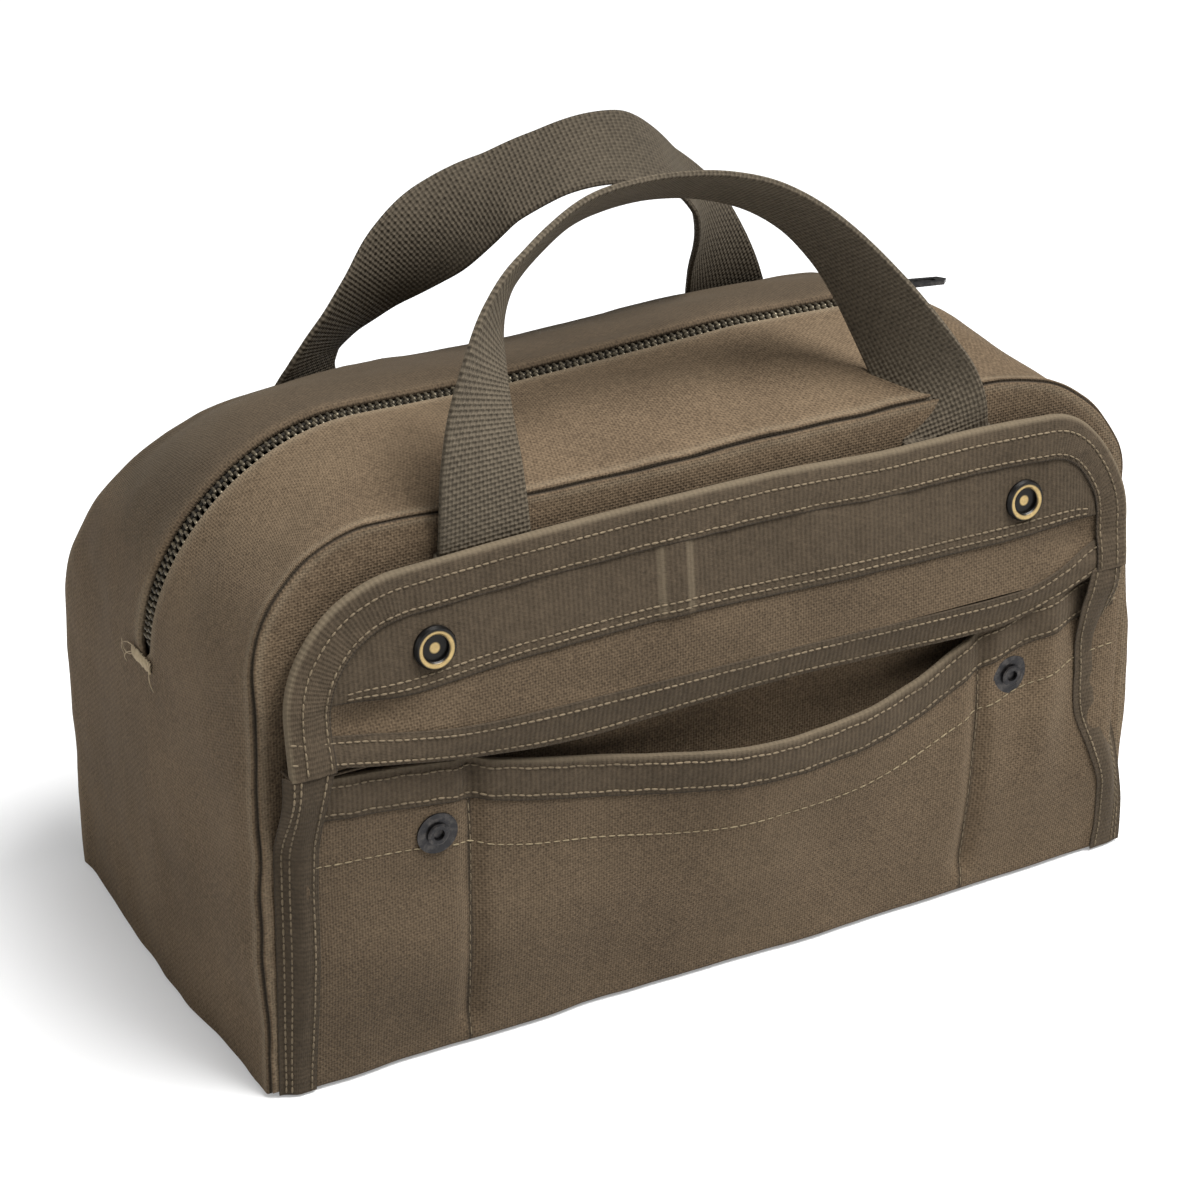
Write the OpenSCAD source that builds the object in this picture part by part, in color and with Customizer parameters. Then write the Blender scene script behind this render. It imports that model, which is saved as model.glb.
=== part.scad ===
// Canvas tool bag: zip top, a flap pocket with snap fasteners on each long side, two webbing handles.
// X runs along the bag, the front side faces -Y, the bag stands on z = 0.

/* [Body] */
// Length between the two end seams
bag_length = 290; // [250:5:340]
// Depth between the outer faces of the two long panels
bag_depth = 145; // [125:5:180]
// Height of the long panels up to their top seams, measured along the cloth
seam_height = 168; // [165:1:185]
// Lean of the back panel's upper part towards the zip, in degrees
back_lean_angle = 28; // [20:1:30]
// Rise of the zip line above the seams of an upright panel
crown_rise = 7; // [6:0.5:9]
// Distance of the zip line from the middle, towards the front
zip_offset = 12; // [8:1:14]
// Bulge of each end at the zip
end_bulge = 3; // [0:0.5:6]
// Radius of the top corners of the long panels
panel_corner = 38; // [35:1:60]
// Radius of the zip line round the top corners
zip_corner = 62; // [50:1:62]
// Thickness of the canvas
canvas = 1.6; // [1:0.1:2]

/* [Zip] */
// Distance between two teeth of one row
tooth_spacing = 3; // [2.8:0.1:4]
// Thickness of a tooth along the zip
tooth_thickness = 1.3; // [1:0.05:1.3]
// Height of a tooth across the tape
tooth_height = 3; // [2.4:0.1:3.4]
// Reach of a tooth past the middle of the zip
tooth_reach = 0.9; // [0.7:0.05:0.95]
// Length of a tooth from its head to its jaws
tooth_length = 3.8; // [3.4:0.1:3.8]
// Width of one zip tape
tape_width = 10; // [8:0.5:10]
// Thickness of the zip tapes
tape_thickness = 0.8; // [0.6:0.1:1]
// Half width of the gap between the folded canvas edges
zip_gap = 5.55; // [5.5:0.05:7]
// Length of the slider
slider_length = 12; // [10:0.5:14]
// Width of the slider
slider_width = 10.5; // [10.4:0.05:10.6]
// Length of the pull tab from its pin
tab_length = 28; // [18:1:40]

/* [Flap and pocket] */
// Height of the line where the flap folds
flap_hinge_height = 104; // [100:1:108]
// Height of the flap
flap_height = 51; // [44:1:52]
// Width of the flap
flap_width = 276; // [230:2:280]
// Radius of the free corners of the flap
flap_corner = 34; // [20:1:40]
// Lean of the folded up flap against the handles, in degrees
flap_lean_angle = 6.5; // [0:0.5:6.5]
// Width of the binding tape
binding_width = 12.5; // [9:0.5:14]
// Height of the pocket at its sides
pocket_height = 95; // [85:1:98]
// Sag of the pocket edge in the middle
pocket_sag = 16; // [4:1:24]
// Inner depth of the pocket
pocket_gap = 5.2; // [5:0.1:8]
// Distance of each pocket divider from the side of the pocket
divider_inset = 55; // [40:1:70]

/* [Snaps] */
// Distance of the snaps from the sides of the flap
snap_inset = 43; // [40:0.5:44]
// Distance of the snaps from the flap's fold
snap_drop = 29; // [26:1:30]
// Diameter of the domed cap
cap_diameter = 15.2; // [13:0.1:16]
// Diameter of the socket ring
socket_diameter = 12.4; // [11:0.1:13]
// Diameter of the stud's base
stud_diameter = 12.3; // [11:0.1:13]
// Diameter of the stud's head
stud_head = 6.6; // [5:0.1:7]

/* [Handles] */
// Width of the webbing
webbing_width = 28; // [22:1:32]
// Thickness of the webbing
webbing = 2; // [1.4:0.1:2.4]
// Distance of each sewn handle end from the middle
handle_place = 74; // [60:1:76]
// Height of the front loop above its sewn ends
front_rise = 82; // [60:1:90]
// Lean of the front loop's top towards the zip
front_lean = 30; // [20:1:38]
// Turn of the front webbing between its ends and its top, in degrees
front_turn = 102; // [60:1:110]
// Height of the back loop above its sewn ends, measured along the leaning panel
back_rise = 78; // [70:1:90]
// Lean of the back loop's top away from the leaning panel, towards the zip where above zero
back_lean = -14; // [-18:1:0]
// Turn of the back webbing between its ends and its top, in degrees
back_turn = 78; // [60:1:100]
// Distance below the top seams at which the sewn ends stop and the loop begins
handle_drop = 13; // [12:0.5:14]
// Length of each sewn handle end
anchor_length = 46; // [40:1:46]

/* [Inside] */
// Distance between the tool pockets
tool_pitch = 40; // [34:1:44]
// Width of each tool pocket
tool_width = 34; // [28:1:34]
// Bulge of each tool pocket
tool_depth = 11; // [9:0.5:14]
// Height of the lower end of the tool pockets
tool_foot = 36; // [20:1:44]
// Height of the tool pockets
tool_height = 52; // [40:1:60]
// Number of tool pockets on each wall
tool_count = 4; // [2:1:6]

/* [Hidden] */

canvas_colour = "#6b6350";
tape_colour = "#5b5545";
webbing_colour = "#625c4c";
metal_colour = "#2b2b2b";
brass_colour = "#a08a58";

$fn = 64;
eps = 0.01;
clear = 0.3;
overrun = 5;

panel_y = bag_depth / 2;
panel_inner = panel_y - canvas;
seam_half = bag_length / 2;
zip_half = seam_half + end_bulge;
zip_height = seam_height + crown_rise;
zip_end = zip_height - zip_corner;
gusset_foot_drop = 5;
gusset_foot = zip_end - gusset_foot_drop;
root_depth = panel_inner - clear;
panel_foot = 0.4;
panel_foot_corner = 5;

corner_steps = 10;
row_steps = 6;

tape_drop = canvas + 2 * clear + tape_thickness / 2;
tape_inner = 1.5;
jaw_gap = 0.05;
tooth_nose = 1.6;
tooth_shoulder = 0.6;
row_spread = 1.4;
run_half = zip_half - zip_corner;
arc_radius = zip_corner - tape_drop;
arc_length = arc_radius * PI / 2;
row_margin = 3;
row_length = 2 * run_half + 2 * arc_length - 2 * row_margin;
teeth = floor(row_length / tooth_spacing);
stop_length = 2.4;
stop_wall = 0.5;

plate = 1.2;
flange = 0.7;
slider_inset = 2;
slider_x = run_half - slider_inset;
post_length = 4;
post_play = 0.25;
bridge_length = 7;
bridge_width = 2.4;
bridge_height = 3.6;
pin_diameter = 1.6;
pin_play = 0.25;
pin_rise = 1.9;
ear_diameter = 3.6;
ear_thickness = 1.2;
tab_thickness = 1.2;
tab_width = 5.4;
tab_tip = 4.2;
tab_slot_length = 9;
tab_slot_width = 1.8;
tab_droop = 6;

pocket_wall = 1;
pocket_face = panel_y + pocket_gap + pocket_wall;
pocket_foot = 3;
pocket_overhang = 1;
pocket_half = flap_width / 2 + pocket_overhang;
divider_place = pocket_half - divider_inset;
snap_place = flap_width / 2 - snap_inset;
divider = 1.2;
trim = 0.5;
edge_band = 11;
socket_height = 1.8;
stud_rim = 0.5;
flap_cloth = 1;
flap_axis_y = pocket_face + stud_rim + clear + socket_height + trim + flap_cloth / 2;
flap_start = 0.8;
hinge_tape = 0.8;
hinge_tape_height = 9;
facing_width = 23;
cap_height = 3;
cap_rim = 1;
socket_bore_play = 0.5;
socket_floor = 0.4;
stud_height = 1.5;
eyelet_diameter = 10;
eyelet_height = 0.6;
eyelet_hole = 3.4;

handle_y = panel_y + webbing / 2;
handle_foot = seam_height - handle_drop;
loop_straight = handle_drop + 2 * canvas;
loop_steps = 18;
loop_square_share = 0.84;

seam_tape = 1.2;
seam_tape_width = 10;
tool_wall = 1.2;
tool_flat = 1;
tool_radius = (tool_width * tool_width / 4 + tool_depth * tool_depth) / (2 * tool_depth);
tool_band = 9;
tool_trim = 0.5;

patch_width = 16;
patch_height = 10;
patch_thickness = 0.8;
tack_length = 12;
tack_height = 3;
tack_drop = 1.2;

// A plate that stands in the XZ plane, its inner face at distance inner from the middle, on the -Y side.
module upright(inner, thickness) {
    translate([0, -inner, 0])
        rotate([90, 0, 0])
            linear_extrude(thickness)
                children();
}

// The same piece on the other long side.
module other_side() {
    mirror([0, 1, 0])
        children();
}

// Tilts the upper part of a long side inwards about a line level with the gusset's foot.
module lean_in(lean) {
    translate([0, -panel_y, gusset_foot])
        rotate([-lean, 0, 0])
            translate([0, panel_y, -gusset_foot])
                children();
}

// A piece that stands straight up to the gusset's foot and leans inwards above it.
module bent(lean) {
    intersection() {
        children();
        translate([-bag_length, -bag_depth, 0])
            cube([2 * bag_length, 2 * bag_depth, gusset_foot + eps]);
    }
    intersection() {
        lean_in(lean)
            children();
        translate([-bag_length, -bag_depth, gusset_foot])
            cube([2 * bag_length, 2 * bag_depth, seam_height]);
    }
}

// Moves a piece of the zip from the middle to the zip's own line.
module on_zip_line() {
    translate([0, -zip_offset, 0])
        children();
}

// Outline with round top corners.
module arch(half, top, radius, foot) {
    translate([-half, foot])
        square([2 * half, top - radius - foot]);
    translate([-(half - radius), foot])
        square([2 * (half - radius), top - foot]);
    for (side = [-1, 1])
        translate([side * (half - radius), top - radius])
            circle(radius);
}

// Rectangle hung from y = -start, its lower corners round.
module tongue(half, start, height, radius) {
    intersection() {
        union() {
            translate([-half, -(height - radius)])
                square([2 * half, height]);
            translate([-(half - radius), -height])
                square([2 * (half - radius), height]);
            for (side = [-1, 1])
                translate([side * (half - radius), -(height - radius)])
                    circle(radius);
        }
        translate([-bag_length, -bag_length - start])
            square([2 * bag_length, bag_length]);
    }
}

// Ease from the seam, 0, to the zip, 1.
function swell(share) = sin(90 * share);

// Half length of the bag at y, as wide as the panels at the seams and widest at the zip.
function half_at(y) =
    let (
        share = y < -zip_offset
            ? (y + panel_inner) / (panel_inner - zip_offset)
            : (panel_inner - y) / (panel_inner + zip_offset)
    )
    seam_half + end_bulge * swell(share);

// Outline of the gusset across the bag, from its +X foot over the top to its -X foot.
function gusset_row(half, top, radius, foot) = concat(
    [[half, foot]],
    [for (i = [0 : corner_steps])
        [half - radius + radius * cos(90 * i / corner_steps), top - radius + radius * sin(90 * i / corner_steps)]],
    [for (i = [0 : corner_steps])
        [radius - half - radius * sin(90 * i / corner_steps), top - radius + radius * cos(90 * i / corner_steps)]],
    [[-half, foot]]
);

function mix(a, b, share) = a + (b - a) * share;

// Place of a gusset point between the leaning seam and the upright zip edge, and the height it needs to
// lie level with the gusset's foot.
function gusset_point(x, height, share, lean, edge) =
    let (up = height - gusset_foot)
    [
        x,
        mix(canvas * cos(lean) - panel_y + up * sin(lean), edge, share),
        gusset_foot + mix(up * cos(lean) - canvas * sin(lean), up, swell(share))
    ];

function gusset_foot_at(share, lean) =
    gusset_foot + canvas * sin(lean) * (1 - swell(share)) / mix(cos(lean), 1, swell(share));

// The two quarter turns and the top of one gusset, lofted from the seam's outline to the zip edge.
module gusset(lean, edge) {
    rows = [for (j = [0 : row_steps])
        let (share = j / row_steps, rise = swell(share))
        [share, mix(seam_half, zip_half, rise), mix(seam_height, zip_height, rise),
            mix(panel_corner, zip_corner, rise), gusset_foot_at(share, lean)]];
    skins = [for (inset = [0, canvas])
        for (row = rows)
            for (p = gusset_row(row[1] - inset, row[2] - inset, row[3] - inset, row[4]))
                gusset_point(p[0], p[1], row[0], lean, edge)];
    count = 2 * corner_steps + 4;
    inner = count * (row_steps + 1);
    last = count * row_steps;
    faces = concat(
        [for (j = [0 : row_steps - 1]) for (k = [0 : count - 2])
            let (a = j * count + k) each [[a, a + 1, a + count + 1], [a, a + count + 1, a + count]]],
        [for (j = [0 : row_steps - 1]) for (k = [0 : count - 2])
            let (a = inner + j * count + k) each [[a, a + count + 1, a + 1], [a, a + count, a + count + 1]]],
        [for (k = [0 : count - 2]) each [[k, inner + k, inner + k + 1], [k, inner + k + 1, k + 1]]],
        [for (k = [0 : count - 2])
            let (a = last + k) each [[a, inner + a + 1, inner + a], [a, a + 1, inner + a + 1]]],
        [for (j = [0 : row_steps - 1])
            let (a = j * count) each [[a, a + count, inner + a + count], [a, inner + a + count, inner + a]]],
        [for (j = [0 : row_steps - 1])
            let (a = j * count + count - 1)
            each [[a, inner + a + count, a + count], [a, inner + a, inner + a + count]]]
    );
    color(canvas_colour)
        polyhedron(skins, faces);
}

// Plan of one end, curved as the bulge is, between two insets.
module end_plan(outer, inner) {
    steps = 2 * row_steps;
    ys = [for (i = [0 : steps]) mix(-root_depth, root_depth, i / steps)];
    polygon(concat(
        [for (y = ys) [half_at(y) - outer, y]],
        [for (i = [steps : -1 : 0]) [half_at(ys[i]) - inner, ys[i]]]
    ));
}

module end_panel() {
    color(canvas_colour)
        linear_extrude(gusset_foot - clear)
            end_plan(0, canvas);
}

module bottom_panel() {
    steps = 2 * row_steps;
    ys = [for (i = [0 : steps]) mix(-root_depth, root_depth, i / steps)];
    color(canvas_colour)
        linear_extrude(canvas)
            polygon(concat(
                [for (y = ys) [half_at(y) - canvas, y]],
                [for (i = [steps : -1 : 0]) [canvas - half_at(ys[i]), ys[i]]]
            ));
}

// Sewn patch below each end of the zip, inside the end panel.
module zip_end_patches() {
    color(tape_colour)
        for (side = [-1, 1])
            translate([side * (zip_half - canvas - clear - patch_thickness / 2), 0,
                    gusset_foot - clear - patch_height / 2])
                cube([patch_thickness, patch_width, patch_height], center = true);
}

module panel() {
    color(canvas_colour)
        upright(panel_inner, canvas)
            difference() {
                arch(seam_half, seam_height, panel_corner, panel_foot);
                for (side = [-1, 1])
                    translate([side * seam_half, panel_foot])
                        rotate(45)
                            square(panel_foot_corner, center = true);
            }
}

module seam_binding() {
    edge = canvas + clear;
    color(tape_colour)
        upright(panel_inner - seam_tape, seam_tape)
            difference() {
                arch(seam_half - edge, seam_height - edge, panel_corner - edge, canvas + clear);
                arch(seam_half - edge - seam_tape_width, seam_height - edge - seam_tape_width,
                    panel_corner - edge - seam_tape_width, -overrun);
            }
}

// Line of the tape's middle round the zip's corners, as a band of one thickness.
module zip_band(thickness) {
    outer = tape_drop - thickness / 2;
    inner = tape_drop + thickness / 2;
    intersection() {
        difference() {
            arch(zip_half - outer, zip_height - outer, zip_corner - outer, zip_end - overrun);
            arch(zip_half - inner, zip_height - inner, zip_corner - inner, zip_end - 2 * overrun);
        }
        translate([-bag_length, zip_end])
            square([2 * bag_length, zip_height]);
    }
}

// Number of the last tooth that stands apart from the other row, counted from the +X end.
function last_apart(shift) = floor((arc_length + slider_inset - row_margin - stop_length) / tooth_spacing - shift);

function tooth_place(i, shift) = row_margin + stop_length + (i + shift) * tooth_spacing;

module zip_tape(shift) {
    apart_x = run_half + arc_length - tooth_place(last_apart(shift) + 1 / 2, shift);
    color(tape_colour)
        difference() {
            upright(tape_inner, tape_width)
                zip_band(tape_thickness);
            translate([apart_x, -tape_inner - row_spread, zip_end - overrun])
                cube([bag_length, row_spread + overrun, zip_height]);
        }
}

// Puts a piece on the zip line: its own X runs along the zip, Z points out of the bag.
module on_zip(along) {
    if (along < arc_length)
        translate([run_half, 0, zip_end])
            rotate([0, -90 * along / arc_length, 0])
                translate([arc_radius, 0, 0])
                    rotate([0, 90, 0])
                        children();
    else if (along < arc_length + 2 * run_half)
        translate([run_half - (along - arc_length), 0, zip_end + arc_radius])
            children();
    else
        translate([-run_half, 0, zip_end])
            rotate([0, -90 * (along - arc_length - 2 * run_half) / arc_length, 0])
                translate([0, 0, arc_radius])
                    children();
}

// One tooth across the tape: a nose that fills the gap between two opposite teeth, and two jaws.
module tooth() {
    side = tooth_height / 2;
    nose = side - tooth_nose / 4;
    slot = tape_thickness / 2 + jaw_gap;
    tail = tooth_reach - tooth_length;
    rotate([90, 0, 90])
        translate([0, 0, -tooth_thickness / 2])
            linear_extrude(tooth_thickness)
                polygon([
                    [tooth_reach, -nose], [tooth_reach, nose],
                    [tooth_reach - tooth_nose, nose], [tooth_reach - tooth_nose - tooth_shoulder, side],
                    [tail, side], [tail, slot], [jaw_gap - tape_inner, slot],
                    [jaw_gap - tape_inner, -slot], [tail, -slot], [tail, -side],
                    [tooth_reach - tooth_nose - tooth_shoulder, -side], [tooth_reach - tooth_nose, -nose]
                ]);
}

module zip_teeth(shift) {
    color(brass_colour)
        for (i = [0 : teeth - 1])
            on_zip(tooth_place(i, shift))
                translate([0, i > last_apart(shift) ? 0 : -row_spread, 0])
                    tooth();
}

// Folded metal stop that ends one row beside the slider's closed end.
module zip_stop() {
    side = tooth_height / 2;
    slot = tape_thickness / 2 + jaw_gap;
    color(metal_colour)
        on_zip(row_margin)
            translate([0, -row_spread, 0])
                rotate([90, 0, 90])
                translate([0, 0, -stop_length / 2])
                    linear_extrude(stop_length)
                        polygon([
                            [-stop_wall, -side], [-stop_wall, side], [-tooth_length + stop_wall, side],
                            [-tooth_length + stop_wall, slot], [jaw_gap - tape_inner, slot],
                            [jaw_gap - tape_inner, -slot], [-tooth_length + stop_wall, -slot],
                            [-tooth_length + stop_wall, -side]
                        ]);
}

// Bar of close stitches over each end of the zip, on the outside of the end panel.
module zip_bar_tacks() {
    color(brass_colour)
        for (side = [-1, 1])
            translate([side * (zip_half + tack_drop / 4), 0, gusset_foot - clear - tack_drop - tack_height / 2])
                cube([tack_drop / 2, tack_length, tack_height], center = true);
}

module pocket_outline() {
    radius = (divider_place * divider_place + pocket_sag * pocket_sag) / (2 * pocket_sag);
    difference() {
        translate([-pocket_half, pocket_foot])
            square([2 * pocket_half, pocket_height - pocket_foot]);
        translate([0, pocket_height - pocket_sag + radius])
            circle(radius, $fn = 256);
    }
}

// Pocket wall, its closed sides and foot, and the two dividers sewn to the panel.
module pocket() {
    bins = [[-pocket_half, -divider_place], [-divider_place, divider_place], [divider_place, pocket_half]];
    color(canvas_colour)
        difference() {
            upright(panel_y, pocket_gap + pocket_wall)
                pocket_outline();
            for (b = bins)
                translate([b[0] + divider / 2, -panel_y - pocket_gap, pocket_foot + pocket_wall])
                    cube([b[1] - b[0] - divider, pocket_gap + overrun, pocket_height]);
        }
}

module pocket_binding() {
    color(tape_colour)
        upright(pocket_face, trim)
            intersection() {
                difference() {
                    pocket_outline();
                    translate([0, -edge_band])
                        pocket_outline();
                }
                translate([binding_width - pocket_half, pocket_height - pocket_sag - edge_band])
                    square([2 * (pocket_half - binding_width), pocket_sag + edge_band]);
            }
}

module side_bindings() {
    color(tape_colour)
        for (side = [-1, 1])
            upright(pocket_face, trim)
                translate([side * (pocket_half - binding_width / 2) - binding_width / 2, pocket_foot])
                    square([binding_width, pocket_height - pocket_foot]);
}

// Tape folded from the panel out to the line on which the flap turns.
module flap_hinge_tape() {
    lip = flap_axis_y - flap_start - clear - panel_y;
    color(tape_colour)
        translate([-flap_width / 2, 0, flap_hinge_height])
            rotate([90, 0, 90])
                linear_extrude(flap_width)
                    polygon([
                        [-panel_y, hinge_tape / 2], [-panel_y - lip, hinge_tape / 2],
                        [-panel_y - lip, -hinge_tape / 2], [-panel_y - hinge_tape, -hinge_tape / 2],
                        [-panel_y - hinge_tape, -hinge_tape_height], [-panel_y, -hinge_tape_height]
                    ]);
}

// Flap pieces are drawn hanging from the fold, the bag's side at +Y, then turned up by an angle.
module on_flap(turned) {
    translate([0, -flap_axis_y, flap_hinge_height])
        rotate([turned, 0, 0])
            children();
}

module flap_sheet(inner, thickness) {
    rotate([90, 0, 0])
        translate([0, 0, -inner - thickness])
            linear_extrude(thickness)
                children();
}

module flap() {
    color(canvas_colour)
        flap_sheet(-flap_cloth / 2, flap_cloth)
            tongue(flap_width / 2, flap_start, flap_height - trim, flap_corner);
}

module flap_binding() {
    color(tape_colour)
        for (face = [flap_cloth / 2, -flap_cloth / 2 - trim])
            flap_sheet(face, trim)
                difference() {
                    tongue(flap_width / 2, 2 * flap_start, flap_height, flap_corner);
                    tongue(flap_width / 2 - binding_width, -overrun, flap_height - binding_width,
                        flap_corner - binding_width);
                }
}

module flap_facing() {
    inset = binding_width + clear;
    color(tape_colour)
        flap_sheet(flap_cloth / 2, trim)
            intersection() {
                tongue(flap_width / 2 - inset, flap_start, flap_height - inset, flap_corner - inset);
                translate([-flap_width, -flap_height + inset])
                    square([2 * flap_width, facing_width]);
            }
}

module at_snaps() {
    for (side = [-1, 1])
        translate([side * snap_place, 0, -snap_drop])
            rotate([-90, 0, 0])
                children();
}

// Domed cap with a rolled rim, on the outside of the flap.
module snap_caps() {
    dome_rise = cap_height - cap_rim;
    dome = (cap_diameter * cap_diameter / 4 + dome_rise * dome_rise) / (2 * dome_rise);
    color(metal_colour)
        at_snaps()
            translate([0, 0, -flap_cloth / 2 - cap_height])
                intersection() {
                    cylinder(d = cap_diameter, h = cap_height);
                    translate([0, 0, dome])
                        sphere(dome, $fn = 96);
                }
}

// Socket ring with the bore that the stud's head enters, on the inside of the flap.
module snap_sockets() {
    bore = stud_head / 2 + socket_bore_play;
    outer = socket_diameter / 2;
    face = flap_cloth / 2 + trim;
    color(metal_colour)
        at_snaps()
            translate([0, 0, face])
                rotate_extrude()
                    polygon([
                        [0, 0], [outer, 0], [outer, socket_height / 2], [outer - trim, socket_height],
                        [bore + trim, socket_height], [bore, socket_height - trim], [bore, socket_floor],
                        [0, socket_floor]
                    ]);
}

module at_studs() {
    for (side = [-1, 1])
        translate([side * snap_place, -pocket_face, flap_hinge_height - snap_drop])
            rotate([90, 0, 0])
                children();
}

// Stud with a wide base and a head that narrows at its neck.
module snap_studs() {
    head = stud_head / 2;
    base = stud_diameter / 2;
    neck = head - stud_rim;
    color(metal_colour)
        at_studs()
            rotate_extrude()
                polygon([
                    [0, 0], [base, 0], [base, stud_rim], [neck, stud_rim], [neck, stud_rim + socket_floor],
                    [head, stud_height - trim / 2], [head - trim, stud_height], [eyelet_hole / 2, stud_height],
                    [eyelet_hole / 2, stud_rim], [0, stud_rim]
                ]);
}

// Eyelet ring inside the pocket that the stud is riveted to.
module snap_eyelets() {
    color(metal_colour)
        at_studs()
            translate([0, 0, -pocket_wall - eyelet_height])
                difference() {
                    cylinder(d = eyelet_diameter, h = eyelet_height);
                    translate([0, 0, -overrun])
                        cylinder(d = eyelet_hole, h = 2 * overrun);
                }
}

// Flat ends of the handle, sewn to the panel.
module handle_ends() {
    color(webbing_colour)
        for (side = [-1, 1])
            upright(panel_y, webbing)
                translate([side * handle_place - webbing_width / 2, handle_foot - anchor_length])
                    square([webbing_width, anchor_length]);
}

// Middle line of a loop at an angle from 0, the +X end, to 180, the -X end.
function loop_point(angle, rise, lean) =
    let (
        up = pow(max(sin(angle), 0), loop_square_share),
        along = pow(abs(cos(angle)), loop_square_share),
        low = loop_straight / rise,
        over = max(up - low, 0) / (1 - low)
    )
    [(angle > 90 ? -1 : 1) * handle_place * along, -handle_y - clear + lean * over * over,
        handle_foot + clear + rise * up];

function unit(v) = v / norm(v);

function ease(share) = let (s = max(0, min(1, share))) s * s * (3 - 2 * s);

// Four corners of the webbing at that angle. It lies flat on the panel at its ends and turns towards its top.
function loop_ring(angle, rise, lean, turned) =
    let (
        step = 0.5,
        ends = angle <= 0 || angle >= 180,
        ahead = loop_point(min(angle + step, 180), rise, lean) - loop_point(max(angle - step, 0), rise, lean),
        tangent = ends ? [0, 0, angle < 90 ? 1 : -1] : unit(ahead),
        flat_y = cross(tangent, unit(cross([0, 1, 0], tangent))),
        across = ends ? [0, 1, 0] : unit(flat_y),
        away = cross(across, tangent),
        up = pow(max(sin(angle), 0), loop_square_share),
        low = loop_straight / rise,
        turn = turned * ease((up - low) / (1 - low)),
        wide = away * cos(turn) + across * sin(turn),
        face = cross(wide, tangent),
        middle = loop_point(angle, rise, lean)
    )
    [for (corner = [[-1, -1], [1, -1], [1, 1], [-1, 1]])
        middle + wide * corner[0] * webbing_width / 2 + face * corner[1] * webbing / 2];

module handle(rise, lean, turned) {
    start = asin(pow(loop_straight / rise, 1 / loop_square_share));
    angles = concat([0], [for (i = [0 : 2 * loop_steps]) start + (90 - start) * i / loop_steps], [180]);
    points = [for (a = angles) each loop_ring(a, rise, lean, turned)];
    last = 4 * (len(angles) - 1);
    faces = concat(
        [[0, 2, 1], [0, 3, 2]],
        [for (j = [0 : len(angles) - 2]) for (k = [0 : 3])
            let (a = 4 * j + k, b = 4 * j + (k + 1) % 4) each [[a, b + 4, a + 4], [a, b, b + 4]]],
        [[last, last + 1, last + 2], [last, last + 2, last + 3]]
    );
    color(webbing_colour)
        polyhedron(points, faces);
}

// Plan of the row of tool pockets against the panel, widened by grow.
module tool_plan(grow) {
    first = -(tool_count - 1) / 2;
    for (i = [0 : tool_count - 1])
        translate([(first + i) * tool_pitch, 0])
            intersection() {
                translate([0, tool_depth - tool_radius])
                    circle(tool_radius + grow);
                translate([-tool_pitch / 2, 0])
                    square([tool_pitch, tool_depth + overrun]);
            }
}

module tool_row() {
    translate([0, -panel_inner, 0])
        children();
}

module tool_pockets() {
    half = tool_count * tool_pitch / 2;
    color(canvas_colour)
        tool_row()
            difference() {
                translate([0, 0, tool_foot])
                    linear_extrude(tool_height)
                        union() {
                            tool_plan(0);
                            translate([-half, 0])
                                square([2 * half, tool_flat]);
                        }
                translate([0, 0, tool_foot + tool_wall])
                    linear_extrude(tool_height + overrun)
                        difference() {
                            tool_plan(-tool_wall);
                            translate([-half, -overrun])
                                square([2 * half, overrun]);
                        }
            }
}

module tool_binding() {
    half = tool_count * tool_pitch / 2;
    color(tape_colour)
        tool_row()
            translate([0, 0, tool_foot + tool_height - tool_band])
                linear_extrude(tool_band)
                    difference() {
                        union() {
                            tool_plan(tool_trim);
                            translate([-half, 0])
                                square([2 * half, tool_flat + tool_trim]);
                        }
                        tool_plan(0);
                        translate([-half - overrun, -overrun])
                            square([2 * half + 2 * overrun, tool_flat + overrun]);
                    }
}

// Plan of the slider's plates: wide where the rows come in, narrow where they leave joined.
module slider_plan(inset) {
    half = slider_width / 2 - inset;
    tail = half - flange;
    nose = slider_length / 2 - inset;
    polygon([
        [-nose, -tail], [-nose, tail], [0, half], [nose - flange, half], [nose, half - flange],
        [nose, flange], [nose - flange, 0], [nose, -flange], [nose, flange - half],
        [nose - flange, -half], [0, -half]
    ]);
}

module at_slider() {
    translate([slider_x, 0, zip_height - tape_drop])
        children();
}

// Slider: an upper and a lower plate with flanges round the teeth, and the bridge that holds the tab's pin.
module slider_body() {
    inner = tooth_height / 2 + clear;
    edge = tape_thickness / 2 + clear;
    color(metal_colour)
        at_slider() {
            for (face = [0, 1])
                mirror([0, 0, face]) {
                    translate([0, 0, inner])
                        linear_extrude(plate)
                            slider_plan(0);
                    translate([0, 0, edge])
                        linear_extrude(inner - edge)
                            difference() {
                                slider_plan(0);
                                translate([-slider_length, flange - slider_width / 2 + eps])
                                    square([2 * slider_length, slider_width - 2 * flange - 2 * eps]);
                            }
                }
            translate([0, 0, -inner - eps])
                linear_extrude(2 * inner + 2 * eps)
                    slider_post();
            bridge(inner + plate);
        }
}

// Wedge that parts the rows at the slider's wide end and joins its two plates.
module slider_post() {
    half = row_spread - tooth_reach - post_play;
    nose = slider_length / 2 - flange;
    polygon([
        [nose - post_length, 0], [nose - post_length / 2, -half], [nose, -half],
        [nose, half], [nose - post_length / 2, half]
    ]);
}

module bridge(foot) {
    round = pin_rise - pin_play;
    difference() {
        translate([0, bridge_width / 2, foot])
            rotate([90, 0, 0])
                linear_extrude(bridge_width)
                    union() {
                        translate([-bridge_length / 2, 0])
                            square([bridge_length, round]);
                        translate([0, pin_rise])
                            circle(bridge_height - pin_rise);
                    }
        translate([0, bridge_width, foot + pin_rise])
            rotate([90, 0, 0])
                cylinder(d = pin_diameter + 2 * pin_play, h = 2 * bridge_width);
    }
}

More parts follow.
